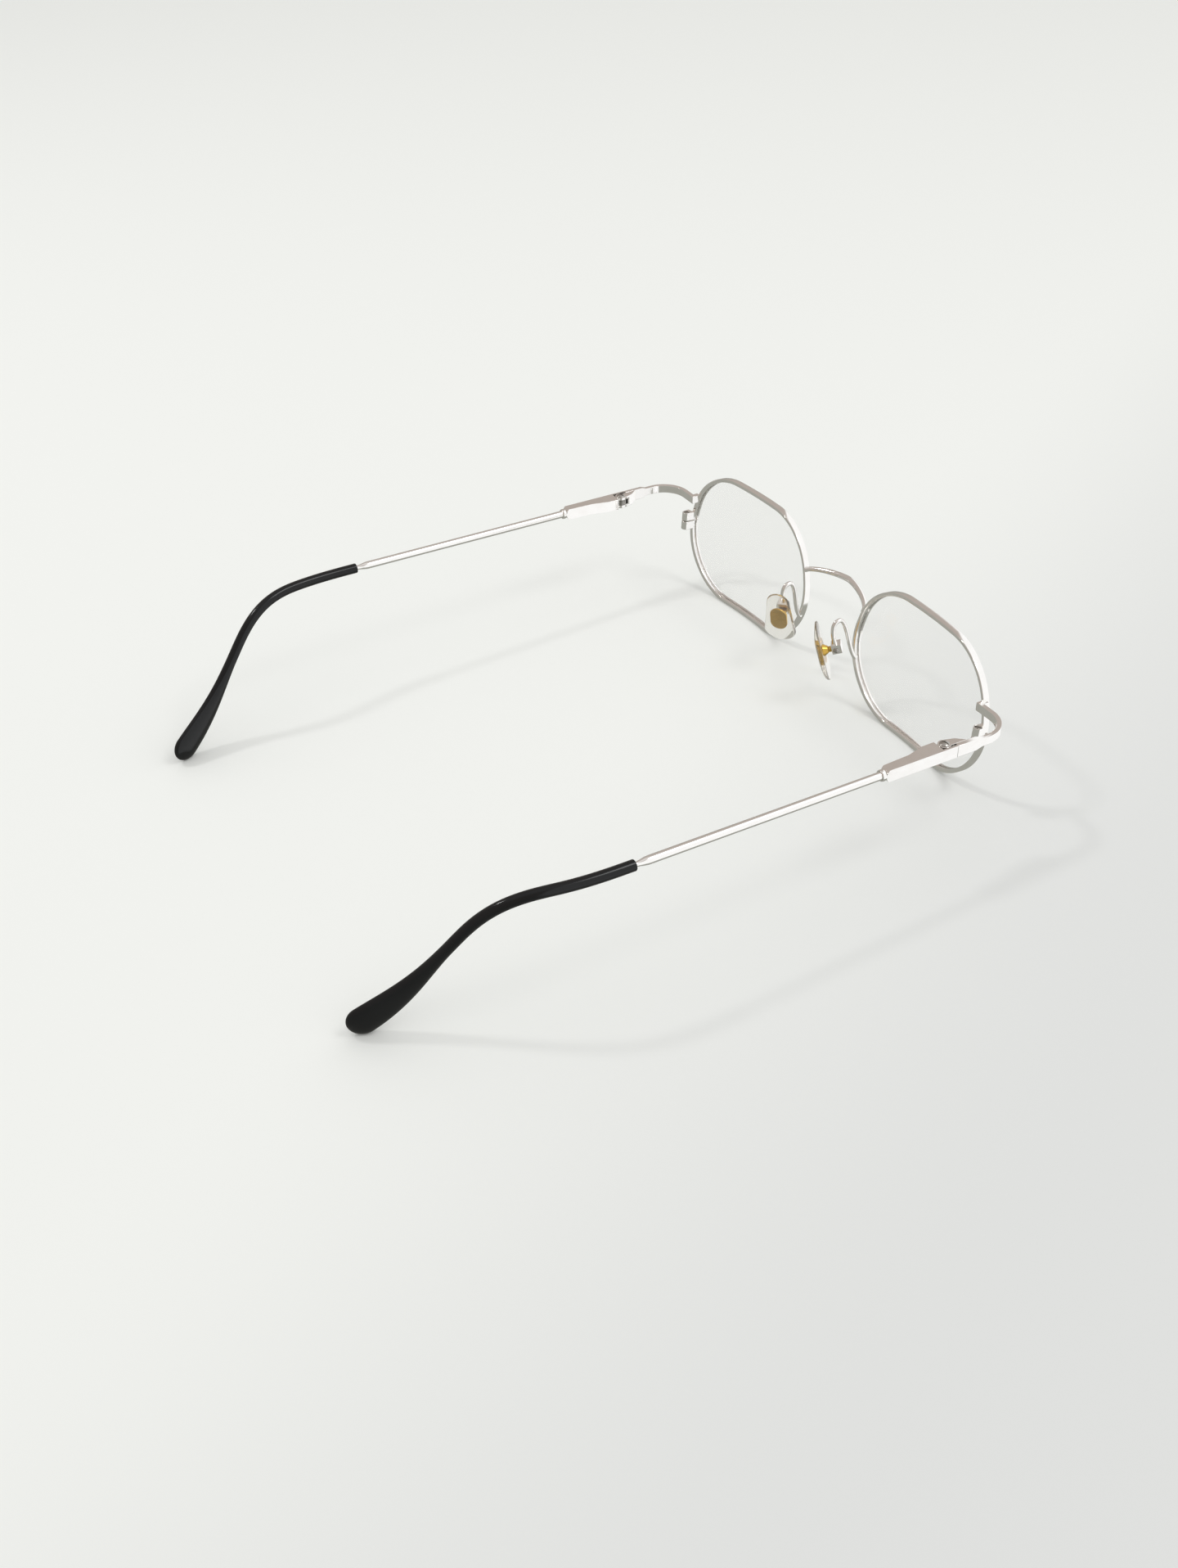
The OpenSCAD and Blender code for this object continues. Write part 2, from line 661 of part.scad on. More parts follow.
// Temple tip: a swept round sleeve that bends down behind the ear and flattens into a paddle
tip_rings = 24;
end_rings = 5;
end_last = 84;
tip_sides = 16;
tip_body = tip_len - paddle_round;
tip_stations = concat(
    [for (i = [0:1:tip_rings]) tip_body * i / tip_rings],
    [for (i = [1:1:end_rings]) tip_body + paddle_round * sin(end_last * i / end_rings)]);

function inward(s) = inward_angle * smooth(s / inward_len);
function down(s) = bend_angle * smooth((s - bend_start) / bend_len) - lift_angle * smooth((s - lift_start) / lift_len);
function tip_heading(s) = [-sin(inward(s)) * cos(down(s)), cos(inward(s)) * cos(down(s)), -sin(down(s))];
function tip_path(stations) = [for (
        i = 0, p = [rod_x, tip_start, 0];
        i < len(stations);
        p = p + tip_heading((stations[i] + stations[min(i + 1, len(stations) - 1)]) / 2)
            * (stations[min(i + 1, len(stations) - 1)] - stations[i]),
        i = i + 1
    ) p];
function paddle(s) = smooth((s - paddle_start) / paddle_grow);
function end_round(s) = s <= tip_body ? 1 : sqrt(max(1 - pow((s - tip_body) / paddle_round, 2), 0));
function tip_hang(s) = let (t = tip_heading(s)) -paddle_drop * paddle(s) * unit([0, 0, 1] - t[2] * t);
function tip_ring(c, s) = ring(c + tip_hang(s), tip_heading(s), [0, 0, 1], [
        end_round(s) * (tip_d + (paddle_t - tip_d) * paddle(s)) / 2,
        end_round(s) * (tip_d + (paddle_h - tip_d) * paddle(s)) / 2,
        tip_sides], 2 + 0.5 * paddle(s));

tip_centres = tip_path(tip_stations);
tip_outside = [for (i = [0:1:len(tip_stations) - 1]) tip_ring(tip_centres[i], tip_stations[i])];
core_rings = 20;
core_sides = 8;
core_stations = [for (i = [0:1:core_rings]) core_len * i / core_rings];
core_centres = tip_path(core_stations);

function core_tube(d, last) = [for (i = [0:1:last])
    ring(core_centres[i], tip_heading(core_stations[i]), [0, 0, 1], [d / 2, d / 2, core_sides], 2)];

// The tip stands on the ground, and the origin lies midway between the bridge and the tips' ends
tip_points = [for (r = tip_outside, p = r) turn_x(p, temple_rise)];
pivot_z = -min([for (p = tip_points) p[2]]);
mid_y = (hinge_back + max([for (p = tip_points) p[1]]) - bridge_forward - bridge_d / 2) / 2;

// Heights above the lens centre: the strap meets the rim here, and the closing block keeps clear below it
strap_z = pivot_z - hinge_back * tan(temple_rise) - lens_z;
closing_z = strap_z - strap_h / 2 - closing_under - closing_h / 2;

module temple_tip() {
    inside = core_tube(core_d + 2 * fit_gap, core_rings);
    outer_count = len(tip_outside);
    first = outer_count * tip_sides;
    inner_count = len(inside);
    ratio = tip_sides / core_sides;
    // The sleeve's front face joins the outer and the inner first rings
    front_faces = [for (k = [0:1:core_sides - 1]) let (
            a = first + k,
            b = first + (k + 1) % core_sides,
            p = ratio * k,
            q = p + 1,
            r = (p + 2) % tip_sides
        ) each [[a, q, p], [a, b, q], [b, r, q]]];
    faces = concat(
        ring_faces(outer_count, tip_sides, 0),
        cap_back(tip_sides, (outer_count - 1) * tip_sides),
        [for (f = ring_faces(inner_count, core_sides, first)) [f[0], f[2], f[1]]],
        cap(core_sides, first + (inner_count - 1) * core_sides),
        front_faces);
    color(black) at_temple() polyhedron(concat([for (r = tip_outside) each r], [for (r = inside) each r]), faces);
}

// Temple wire: spigot in the box, round wire, neck and the core inside the tip
module temple_wire() {
    wire_from = box_len + 2 * seat;
    neck_from = tip_start - neck_len;
    color(metal) at_temple() {
        translate([rod_x, 0, 0]) rotate([-90, 0, 0]) {
            translate([0, 0, box_len - spigot_len])
                cylinder(h = spigot_len + over, d = chamber_d - 2 * fit_gap, $fn = fine);
            translate([0, 0, wire_from]) cylinder(h = neck_from - wire_from, d = wire_d, $fn = fine);
            translate([0, 0, neck_from]) cylinder(h = neck_len - seat, d1 = wire_d, d2 = core_d, $fn = fine);
            translate([0, 0, neck_from]) cylinder(h = neck_len + core_d / 2, d = 0.8 * core_d, $fn = fine);
        }
        solid_tube(core_tube(core_d, core_rings - 1));
    }
}

// Pad arm: a looped wire from the rim's back to the top of the pad box
arm_steps = 12;
arm_sides = 8;
arm_in = [nose_side[0] - (corner_r + rim_t / 2) * cos(arm_angle),
    nose_side[1] - (corner_r + rim_t / 2) * sin(arm_angle)];
arm_foot = lens_point(on_shell(arm_in[0], arm_in[1], base_r - rim_d / 2 - seat));
arm_normal = unit(lens_dir([0, base_r, 0] - on_shell(arm_in[0], arm_in[1], base_r)));
box_top = tab_r + turn_gap + pad_box_wall;
loop_top = pad_pivot + [-loop_in, -loop_forward, loop_h];
arm_end = pad_pivot + pad_dir([0, 0, box_top + seat]);

function bezier(p, t) = pow(1 - t, 3) * p[0] + 3 * t * pow(1 - t, 2) * p[1] + 3 * t * t * (1 - t) * p[2] + t * t * t * p[3];
arm_rise = [arm_foot, arm_foot + [0, 2, 1.7], loop_top - [0, loop_round, 0], loop_top];
arm_fall = [loop_top, loop_top + [0, loop_round, 0], arm_end + pad_dir([0, 0, 0.4 * loop_h]), arm_end];
arm_path = concat(
    [for (i = [0:1:arm_steps]) bezier(arm_rise, i / arm_steps)],
    [for (i = [1:1:arm_steps]) bezier(arm_fall, i / arm_steps)]);
arm_last = len(arm_path) - 1;

module pad_arm() {
    color(metal) at_front() solid_tube([for (i = [0:1:arm_last]) let (
            c = arm_path[i],
            t = heading(arm_path, i),
            plain = ring(c, t, [1, 0, 0], [arm_d / 2, arm_d / 2, arm_sides], 2)
        ) i == 0 ? onto_plane(plain, c, t, arm_normal)
        : i == arm_last ? onto_plane(plain, c, t, pad_dir([0, 0, 1])) : plain]);
}

// Pad box: open towards the pad and below, with the screw across it
box_half_w = tab_t / 2 + turn_gap + pad_box_wall;
box_back = tab_r + turn_gap + pad_box_wall;
box_low = 0.95;
box_front = 0.9;

module pad_box() {
    inner_w = tab_t + 2 * turn_gap;
    color(metal) at_pad() difference() {
        translate([-box_back, -box_half_w, -box_low]) cube([box_back + box_front, 2 * box_half_w, box_low + box_top]);
        translate([-tab_r - turn_gap, -inner_w / 2, -box_low - over])
            cube([2 * box_back, inner_w, box_low + tab_r + turn_gap + over]);
        rotate([90, 0, 0]) cylinder(h = 4 * box_half_w, d = pad_screw_d + 2 * fit_gap, center = true, $fn = fine);
    }
}

module pad_screw() {
    slot_w = pad_head_d / 5;
    color(metal) at_pad() rotate([90, 0, 0]) difference() {
        union() {
            cylinder(h = 2 * box_half_w + 2 * seat, d = pad_screw_d, center = true, $fn = fine);
            translate([0, 0, box_half_w + seat]) cylinder(h = pad_head_h, d = pad_head_d, $fn = fine);
        }
        translate([0, 0, box_half_w + pad_head_h]) cube([slot_w, pad_head_d + over, pad_head_h], center = true);
    }
}

// Pad insert: a gold plate in the pad's back, with a boss and a tab that turns on the pad screw
module slot_shape(w, l) {
    for (s = [-1, 1]) translate([s * (l - w) / 2, 0]) circle(d = w, $fn = fine);
    square([l - w, w - 2 * crossing], center = true);
}
module pad_insert() {
    color(gold) at_pad() {
        difference() {
            union() {
                rotate([90, 0, 0]) cylinder(h = tab_t, r = tab_r, center = true, $fn = fine);
                translate([0, -tab_t / 2, -tab_r / 2]) cube([pad_stand, tab_t, tab_r]);
            }
            rotate([90, 0, 0]) cylinder(h = tab_t + over, d = pad_screw_d + 2 * fit_gap, center = true, $fn = fine);
        }
        translate([box_back + boss_gap, 0, 0]) rotate([0, 90, 0])
            cylinder(h = pad_stand + plate_t / 2 - box_back - boss_gap, d1 = 2 * tab_r, d2 = boss_d, $fn = fine);
        translate([pad_stand + seat, 0, 0]) rotate([0, 90, 0])
            linear_extrude(height = plate_t) slot_shape(plate_w, plate_len);
    }
}

// Nose pad: a drop outline, wide below, with a domed face and the plate let into its back
module pad_outline() {
    low_r = pad_w / 2;
    high_r = pad_top_w / 2;
    low_c = [pad_len / 2 - low_r, 0];
    high_c = [high_r - pad_len / 2, 0];
    a = asin((low_r - high_r) / (low_c[0] - high_c[0]));
    side = [sin(a), cos(a)];
    translate(low_c) circle(low_r, $fn = arc_fine);
    translate(high_c) circle(high_r, $fn = arc_fine);
    polygon([for (m = [1, -1]) each [for (p = (m == 1 ? [0, 1] : [1, 0])) let (
            c = p == 0 ? low_c : high_c,
            r = (p == 0 ? low_r : high_r) - crossing
        ) c + r * [side[0], m * side[1]]]]);
}
module nose_pad() {
    recess = lens_clearance;
    color(clear) at_pad() translate([pad_stand, 0, 0]) difference() {
        intersection() {
            rotate([0, 90, 0]) linear_extrude(height = pad_t) pad_outline();
            translate([pad_t - pad_dome_r, 0, 0]) sphere(pad_dome_r, $fn = arc_fine);
        }
        rotate([0, 90, 0]) translate([0, 0, -over])
            linear_extrude(height = plate_t + 2 * seat + over) slot_shape(plate_w + 2 * recess, plate_len + 2 * recess);
    }
}

bridge();
left() rim();  // left_rim
left() lens();  // left_lens
left() closing_block_upper();  // left_closing_block_upper
left() closing_block_lower();  // left_closing_block_lower
left() closing_screw();  // left_closing_screw
left() end_piece();  // left_end_piece
left() hinge_front();  // left_hinge_front
left() hinge_screw();  // left_hinge_screw
left() hinge_bush();  // left_hinge_bush
left() hinge_slider();  // left_hinge_slider
left() hinge_spring();  // left_hinge_spring
left() spring_stop();  // left_spring_stop
left() temple_box();  // left_temple_box
left() temple_collar();  // left_temple_collar
left() temple_wire();  // left_temple_wire
left() temple_tip();  // left_temple_tip
left() pad_arm();  // left_pad_arm
left() pad_box();  // left_pad_box
left() pad_screw();  // left_pad_screw
left() pad_insert();  // left_pad_insert
left() nose_pad();  // left_nose_pad
right() rim();  // right_rim
right() lens();  // right_lens
right() closing_block_upper();  // right_closing_block_upper
right() closing_block_lower();  // right_closing_block_lower
right() closing_screw();  // right_closing_screw
right() end_piece();  // right_end_piece
right() hinge_front();  // right_hinge_front
right() hinge_screw();  // right_hinge_screw
right() hinge_bush();  // right_hinge_bush
right() hinge_slider();  // right_hinge_slider
right() hinge_spring();  // right_hinge_spring
right() spring_stop();  // right_spring_stop
right() temple_box();  // right_temple_box
right() temple_collar();  // right_temple_collar
right() temple_wire();  // right_temple_wire
right() temple_tip();  // right_temple_tip
right() pad_arm();  // right_pad_arm
right() pad_box();  // right_pad_box
right() pad_screw();  // right_pad_screw
right() pad_insert();  // right_pad_insert
right() nose_pad();  // right_nose_pad
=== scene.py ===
"""The visible pieces of a pair of wire-rimmed eyeglasses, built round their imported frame.

Each operator makes one piece or one group of like pieces. Lengths are kept in metres, on the part's own axes.
"""

import json
import math

import bmesh
import bpy
from bpy.props import FloatProperty, FloatVectorProperty, PointerProperty
from mathutils import Matrix, Vector

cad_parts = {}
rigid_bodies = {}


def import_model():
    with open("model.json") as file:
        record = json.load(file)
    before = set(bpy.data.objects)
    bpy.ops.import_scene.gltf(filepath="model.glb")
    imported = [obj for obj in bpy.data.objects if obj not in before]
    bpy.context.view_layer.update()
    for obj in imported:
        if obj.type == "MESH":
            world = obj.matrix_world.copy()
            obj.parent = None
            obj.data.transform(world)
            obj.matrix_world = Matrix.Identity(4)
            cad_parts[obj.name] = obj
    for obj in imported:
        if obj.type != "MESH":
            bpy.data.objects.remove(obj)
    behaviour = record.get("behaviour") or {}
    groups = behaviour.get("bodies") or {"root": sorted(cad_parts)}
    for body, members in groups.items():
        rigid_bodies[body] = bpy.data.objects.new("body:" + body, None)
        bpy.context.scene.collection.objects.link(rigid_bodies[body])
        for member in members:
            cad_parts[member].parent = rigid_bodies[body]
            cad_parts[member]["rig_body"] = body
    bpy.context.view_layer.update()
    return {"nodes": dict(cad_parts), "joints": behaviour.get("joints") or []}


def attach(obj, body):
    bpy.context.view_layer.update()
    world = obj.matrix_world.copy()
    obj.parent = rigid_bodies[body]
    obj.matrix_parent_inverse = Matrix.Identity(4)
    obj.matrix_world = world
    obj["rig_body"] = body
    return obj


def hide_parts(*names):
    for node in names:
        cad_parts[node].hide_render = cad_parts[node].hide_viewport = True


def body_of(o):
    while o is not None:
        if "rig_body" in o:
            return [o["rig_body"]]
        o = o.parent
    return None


bl_info = {
    "name": "Wire Rim Eyeglasses",
    "version": (1, 0, 0),
    "blender": (4, 5, 0),
    "location": "View3D > Sidebar > Eyeglasses",
    "description": "Builds rims, lenses, bridge, nose pads, hinges and temples round the packed frame",
    "category": "Object",
}

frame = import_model()
JOINTS = {joint["name"]: joint for joint in frame["joints"]}
SIDES = ("left", "right")
MM = 0.001
UP = Vector((0, 0, 1))
# Points nearer than this are one: in the meshes built here, and in the solids of the CAD
SAME_POINT, SAME_CAD_POINT = 1e-7, 2e-6


# Sizes and finishes


def length(name, description, millimetres):
    """A length, given in millimetres and kept in metres."""
    size = millimetres * MM
    return FloatProperty(
        name=name, description=description, default=size, unit="LENGTH", subtype="DISTANCE", precision=5
    )


def angle(name, description, degrees):
    """An angle, given in degrees and kept in radians."""
    turn = math.radians(degrees)
    return FloatProperty(name=name, description=description, default=turn, unit="ROTATION", subtype="ANGLE")


def share(name, description, default):
    """A share from 0 to 1."""
    return FloatProperty(name=name, description=description, default=default, min=0, max=1, subtype="FACTOR")


def linear(hex_colour):
    """An sRGB hex colour as the linear numbers that the shaders take."""
    channels = [int(hex_colour[i : i + 2], 16) / 255 for i in (1, 3, 5)]
    return [c / 12.92 if c <= 0.04045 else ((c + 0.055) / 1.055) ** 2.4 for c in channels]


def tint(name, description, hex_colour):
    """A colour, given in sRGB hex."""
    colour = linear(hex_colour)
    return FloatVectorProperty(
        name=name, description=description, default=colour, size=3, min=0, max=1, subtype="COLOR"
    )


class FrontSizes(bpy.types.PropertyGroup):
    """Sizes of the front: lenses, rims and bridge."""

    lens_width: length("Lens width", "Width between the rim's inner edges", 45.6)
    lens_height: length("Lens height", "Height between the rim's inner edges", 31)
    corner: length("Corner radius", "Radius of the outline's six soft corners", 14.5)
    top_flat: length("Top flat", "Length of the flat along the top", 15.8)
    bottom_flat: length("Bottom flat", "Length of the flat along the bottom", 15.6)
    side_drop: length("Side drop", "Side corners' depth below the middle", 0.5)
    base: length("Base curve", "Radius of the lens's sphere", 105)
    lens_thickness: length("Lens thickness", "Thickness of the lens", 1.1)
    lens_gap: length("Lens gap", "Play between lens and rim", 0.03)
    rim_width: length("Rim width", "Width of the rim seen from the front", 0.9)
    rim_depth: length("Rim depth", "Depth of the rim from front to back", 1.4)
    rim_lip: length("Rim lip", "Depth that plating adds to each edge", 0.12)
    rim_round: length("Rim rounding", "Radius of the rim's outer corners", 0.17)
    lip_round: length("Lip rounding", "Radius of the corners beside the lens", 0.08)
    groove_width: length("Groove width", "Width of the lens's groove", 0.6)
    groove_depth: length("Groove depth", "Depth of that groove", 0.35)
    rim_gap: length("Rim gap", "Distance between the two rims", 19.6)
    wrap: angle("Wrap", "Turn of each lens's outer side to the back", 2.6)
    lean: angle("Lean", "Turn of the lenses' lower edge to the back", 6.6)
    slit: length("Closing slit", "Width of the cut that opens the rim", 0.3)
    slit_height: length("Slit height", "Height of that cut over the middle", 0.4955)
    bridge_wire: length("Bridge wire", "Diameter of the bridge at its middle", 1.4)
    bridge_end: length("Bridge end", "Diameter of the bridge at its ends", 1.1)
    bridge_forward: length("Bridge forward", "Arch before the lenses' middle", 3.2)
    bridge_rise: length("Bridge rise", "Arch above the lenses' middle", 8)
    bridge_angle: angle("Bridge angle", "Angle at which the bridge meets the rim's corner", 21)
    bridge_power: FloatProperty(name="Bridge power", description="Roundness of the arch", default=1.5)


class PadSizes(bpy.types.PropertyGroup):
    """Sizes of the nose pads and their arms."""

    yaw: angle("Yaw", "Turn of the pad about the upright", 127.6)
    pitch: angle("Pitch", "Splay of the pad's lower end", 15)
    pad_length: length("Pad length", "Length of the clear pad", 15)
    pad_width: length("Pad width", "Width near the pad's lower end", 7.8)
    pad_top: length("Top width", "Width at the pad's upper end", 5.4)
    pad_thickness: length("Pad thickness", "Thickness of the clear pad", 1.6)
    pad_edge: length("Pad edge", "Rounding of the clear pad's edge", 0.32)
    dome: length("Dome radius", "Radius of the face that rests on the nose", 23)
    stand: length("Stand", "Distance from the pad's screw to its back", 2.8)
    arm_wire: length("Arm wire", "Diameter of the pad's arm", 1)
    arm_angle: angle("Arm angle", "Angle at which the arm meets the rim", 20)
    loop_height: length("Loop height", "Loop over the pad's screw", 6.6)
    loop_forward: length("Loop forward", "Loop before the pad's screw", 1.1)
    loop_inward: length("Loop inward", "Distance of the loop towards the nose", 0.6)
    loop_round: length("Loop roundness", "Half width of the loop's top", 2.3)
    box_top: length("Box top", "Pad box over the pad's screw", 1.36)


class TempleSizes(bpy.types.PropertyGroup):
    """Sizes of the temples and their black tips."""

    rise: angle("Rise", "Rise of the temple towards the back", 2.4)
    hinge_back: length("Hinge back", "Hinge behind the lenses' middle", 20.9)
    rod_out: length("Wire offset", "Wire outside the hinge's axis", 0.95)
    box_length: length("Box length", "Sprung box behind the hinge", 15.6)
    wire: length("Wire", "Diameter of the temple wire", 1.76)
    root: length("Root", "Wire inside the sprung box", 1)
    core: length("Core", "Diameter of the wire inside the tip", 1)
    core_length: length("Core length", "Length of the wire inside the tip", 47.5)
    neck: length("Neck", "Length over which the wire narrows", 3)
    tip_start: length("Tip start", "From the hinge to the tip's front end", 71.9)
    tip_length: length("Tip length", "Length of the tip along its curve", 65.6)
    tip_wide: length("Tip diameter", "Diameter of the tip's round part", 2.3)
    tip_lip: length("Tip lip", "Rounding of the tip's front edge", 0.22)
    tip_play: length("Tip play", "Play round the wire inside the tip", 0.03)
    tip_mouth: length("Tip mouth", "Depth of the bore that is drawn", 1.6)
    paddle_thick: length("Paddle thickness", "Thickness of the paddle", 2.2)
    paddle_high: length("Paddle height", "Height of the paddle", 6.2)
    paddle_start: length("Paddle start", "Place on the tip where it starts", 39)
    paddle_grow: length("Paddle growth", "Length over which the paddle grows", 24)
    paddle_drop: length("Paddle drop", "Drop of the paddle below the tip's line", 0.35)
    paddle_round: length("Paddle rounding", "Length of the rounded end", 3.4)
    inward: angle("Inward angle", "Angle by which the tip turns in", 21.8)
    inward_length: length("Inward length", "Length over which it turns in", 33)
    bend: angle("Bend angle", "Angle by which the tip bends down", 48.7)
    bend_start: length("Bend start", "Place on the tip where it bends", 14.5)
    bend_length: length("Bend length", "Length of the bend", 23.2)
    lift: angle("Lift angle", "Angle by which the paddle lifts again", 14)
    lift_start: length("Lift start", "Place on the tip where it lifts", 42)
    lift_length: length("Lift length", "Length over which it lifts", 20)


class Finishes(bpy.types.PropertyGroup):
    """Colours and gloss of the materials."""

    silver: tint("Silver", "Palladium-toned plating of the frame", "#FEFDFB")
    silver_shade: tint("Silver shade", "The plating where it is handled", "#FAF8F5")
    steel: tint("Steel", "Stainless steel of the screws", "#BDBAB4")
    gold: tint("Gold", "Gold plating of the pad plates", "#E6BE60")
    brass: tint("Brass", "Brass of bush and stop", "#E8C77C")
    acetate: tint("Acetate", "Black of the temple tips", "#121314")
    pad: tint("Pad", "Clear soft plastic of the nose pads", "#FDFCF9")
    pad_depth: tint("Pad depth", "The pad's tone where it is thick", "#F2EADB")
    lens: tint("Lens", "Clear lens plastic", "#FEFEFE")
    floor: tint("Floor", "Seamless paper under the glasses", "#F3F4F0")
    # Painted shade: the paper's darker tone stands in for light that falls off across the table
    floor_painted_shade: tint("Floor shade", "Tone of the paper at its darker side", "#E2E3E1")
    room: tint("Room", "The mirrored room above the table", "#B2A8A1")
    room_low: tint("Room below", "The mirrored room below it", "#A0A099")
    polish: share("Polish", "Roughness of the plated wire", 0.1)


def settings(group):
    """The scene's own values of one group."""
    return getattr(bpy.context.scene, group)


# Places and outlines


def front_shift():
    """How far the front's own frame lies before the part's origin."""
    return JOINTS["left_fold"]["pos_m"][1] - settings("temple_sizes").hinge_back


def lens_centre():
    """Middle of the left lens in the front's own frame."""
    s = settings("front_sizes")
    half = s.lens_height / 2 + s.rim_width
    front = s.base - math.sqrt((s.base + s.rim_depth / 2) ** 2 - half * half)
    x = s.rim_gap / 2 + (s.lens_width / 2 + s.rim_width) * math.cos(s.wrap)
    return Vector((x, 0, half * math.cos(s.lean) - front * math.sin(s.lean)))


def lens_frame():
    """Place of the left lens: X along its width, Y backwards, Z along its height."""
    s = settings("front_sizes")
    place = Matrix.Translation(lens_centre() + Vector((0, front_shift(), 0)))
    return place @ Matrix.Rotation(s.wrap, 4, "Z") @ Matrix.Rotation(s.lean, 4, "X")


def temple_frame():
    """Place of the left hinge at rest: X outwards, Y along the temple, Z along the hinge's axis."""
    rise = settings("temple_sizes").rise
    return Matrix.Translation(JOINTS["left_fold"]["pos_m"]) @ Matrix.Rotation(rise, 4, "X")


def pad_frame():
    """Place of the left pad's screw: X towards the nose, Z along the pad."""
    s = settings("pad_sizes")
    place = Matrix.Translation(JOINTS["left_pad_rock"]["pos_m"])
    return place @ Matrix.Rotation(s.yaw, 4, "Z") @ Matrix.Rotation(s.pitch, 4, "Y")


def sag(x, z, radius):
    """Depth behind the base curve's foremost point of a point on a sphere about the same centre."""
    return settings("front_sizes").base - math.sqrt(radius * radius - x * x - z * z)


def smooth_step(t):
    """0 below 0, 1 above 1 and a smooth rise between them."""
    t = min(max(t, 0), 1)
    return t * t * (3 - 2 * t)


def outline_corners():
    """The outline's corner centres, counter-clockwise from the upper outer one."""
    s = settings("front_sizes")
    high, out = s.lens_height / 2 - s.corner, s.lens_width / 2 - s.corner
    return [
        Vector((s.top_flat / 2, high)),
        Vector((-s.top_flat / 2, high)),
        Vector((-out, -s.side_drop)),
        Vector((-s.bottom_flat / 2, -high)),
        Vector((s.bottom_flat / 2, -high)),
        Vector((out, -s.side_drop)),
    ]


def outline(grow, arc_steps=28, flat_steps=6):
    """Points of the lens outline, grown outwards, counter-clockwise from low on the outer side."""
    radius = settings("front_sizes").corner + grow
    corners = outline_corners()
    points = []
    for i in (5, 0, 1, 2, 3, 4):
        centre = corners[i]
        before = centre - corners[i - 1]
        after = corners[(i + 1) % 6] - centre
        start = math.atan2(-before.x, before.y)
        turn = (math.atan2(-after.x, after.y) - start) % (2 * math.pi)
        for k in range(arc_steps + 1):
            a = start + turn * k / arc_steps
            points.append(centre + radius * Vector((math.cos(a), math.sin(a))))
        last = points[-1]
        points += [last + after * k / flat_steps for k in range(1, flat_steps)]
    return points


def outline_at(height):
    """The outline's point on the outer side at a height near the side corner."""
    radius, centre = settings("front_sizes").corner, outline_corners()[5]
    return Vector((centre.x + math.sqrt(radius**2 - (height - centre.y) ** 2), height))


def rim_foot(corner, rise, sunk):
    """Where a wire meets the rim on the nose's side: at an angle round a corner, sunk by a share of its width."""
    s = settings("front_sizes")
    centre, reach = outline_corners()[corner], s.corner + sunk * s.rim_width
    x, z = centre.x - reach * math.cos(rise), centre.y + reach * math.sin(rise)
    return lens_frame() @ Vector((x, sag(x, z, s.base - s.rim_depth / 4), z))


# Meshes


def volume_of(faces):
    """Signed volume inside some faces, negative where they face inwards."""
    total = 0
    for face in faces:
        a, *rest = [v.co for v in face.verts]
        total += sum(a.dot(b.cross(c)) for b, c in zip(rest, rest[1:]))
    return total / 6


def islands(shape):
    """The faces of each closed solid of a mesh."""
    left = set(shape.faces)
    while left:
        reached, island = [left.pop()], []
        while reached:
            face = reached.pop()
            island.append(face)
            for other in {f for v in face.verts for f in v.link_faces} & left:
                left.discard(other)
                reached.append(other)
        yield island


def settled(mesh, side="left", place=None):
    """A mesh brought to its place, with doubles merged and faces outwards. The right side is mirrored."""
    shape = bmesh.new()
    shape.from_mesh(mesh)
    bmesh.ops.remove_doubles(shape, verts=shape.verts, dist=SAME_POINT)
    if place:
        shape.transform(place)
    if side == "right":
        shape.transform(Matrix.Scale(-1, 4, (1, 0, 0)))
    bmesh.ops.recalc_face_normals(shape, faces=shape.faces)
    for island in islands(shape):
        if volume_of(island) < 0:
            bmesh.ops.reverse_faces(shape, faces=island)
    # A broken edge has a number of its own, and the plain faces stay crisp where it begins
    for edge in shape.edges:
        if len({face.material_index for face in edge.link_faces}) > 1:
            edge.smooth = False
    shape.to_mesh(mesh)
    shape.free()
    return mesh


def lofted(rings, side, place, ends=()):
    """A solid through rings of points. It ends in fans round two points, or in flat faces."""
    sides = len(rings[0])
    points = [p for ring in rings for p in ring] + list(ends)
    last = (len(rings) - 1) * sides
    faces = []
    for low in range(0, last, sides):
        for k in range(sides):
            n = (k + 1) % sides
            faces.append((low + k, low + n, low + sides + n, low + sides + k))
    if ends:
        for k in range(sides):
            n = (k + 1) % sides
            faces += [(len(points) - 2, n, k), (len(points) - 1, last + k, last + n)]
    else:
        faces += [tuple(range(sides)), tuple(range(last, last + sides))]
    mesh = bpy.data.meshes.new("loft")
    mesh.from_pydata(points, [], faces)
    return settled(mesh, side, place)


def rounded_profile(corners, steps=4):
    """A polygon with each corner rounded: corners are (x, y, radius) in order."""
    points = []
    for i, (x, y, radius) in enumerate(corners):
        here = Vector((x, y))
        if radius <= 0:
            points.append(here)
            continue
        before = (Vector(corners[i - 1][:2]) - here).normalized()
        after = (Vector(corners[(i + 1) % len(corners)][:2]) - here).normalized()
        half = before.angle(after) / 2
        reach = radius / math.tan(half)
        centre = here + (before + after).normalized() * radius / math.sin(half)
        first, last = here + before * reach - centre, here + after * reach - centre
        sweep = first.angle_signed(last)
        points += [centre + Matrix.Rotation(-sweep * k / steps, 2) @ first for k in range(steps + 1)]
    return points


def placed(name, data):
    """A new object of some data, in the scene."""
    thing = bpy.data.objects.new(name, data)
    bpy.context.scene.collection.objects.link(thing)
    return thing


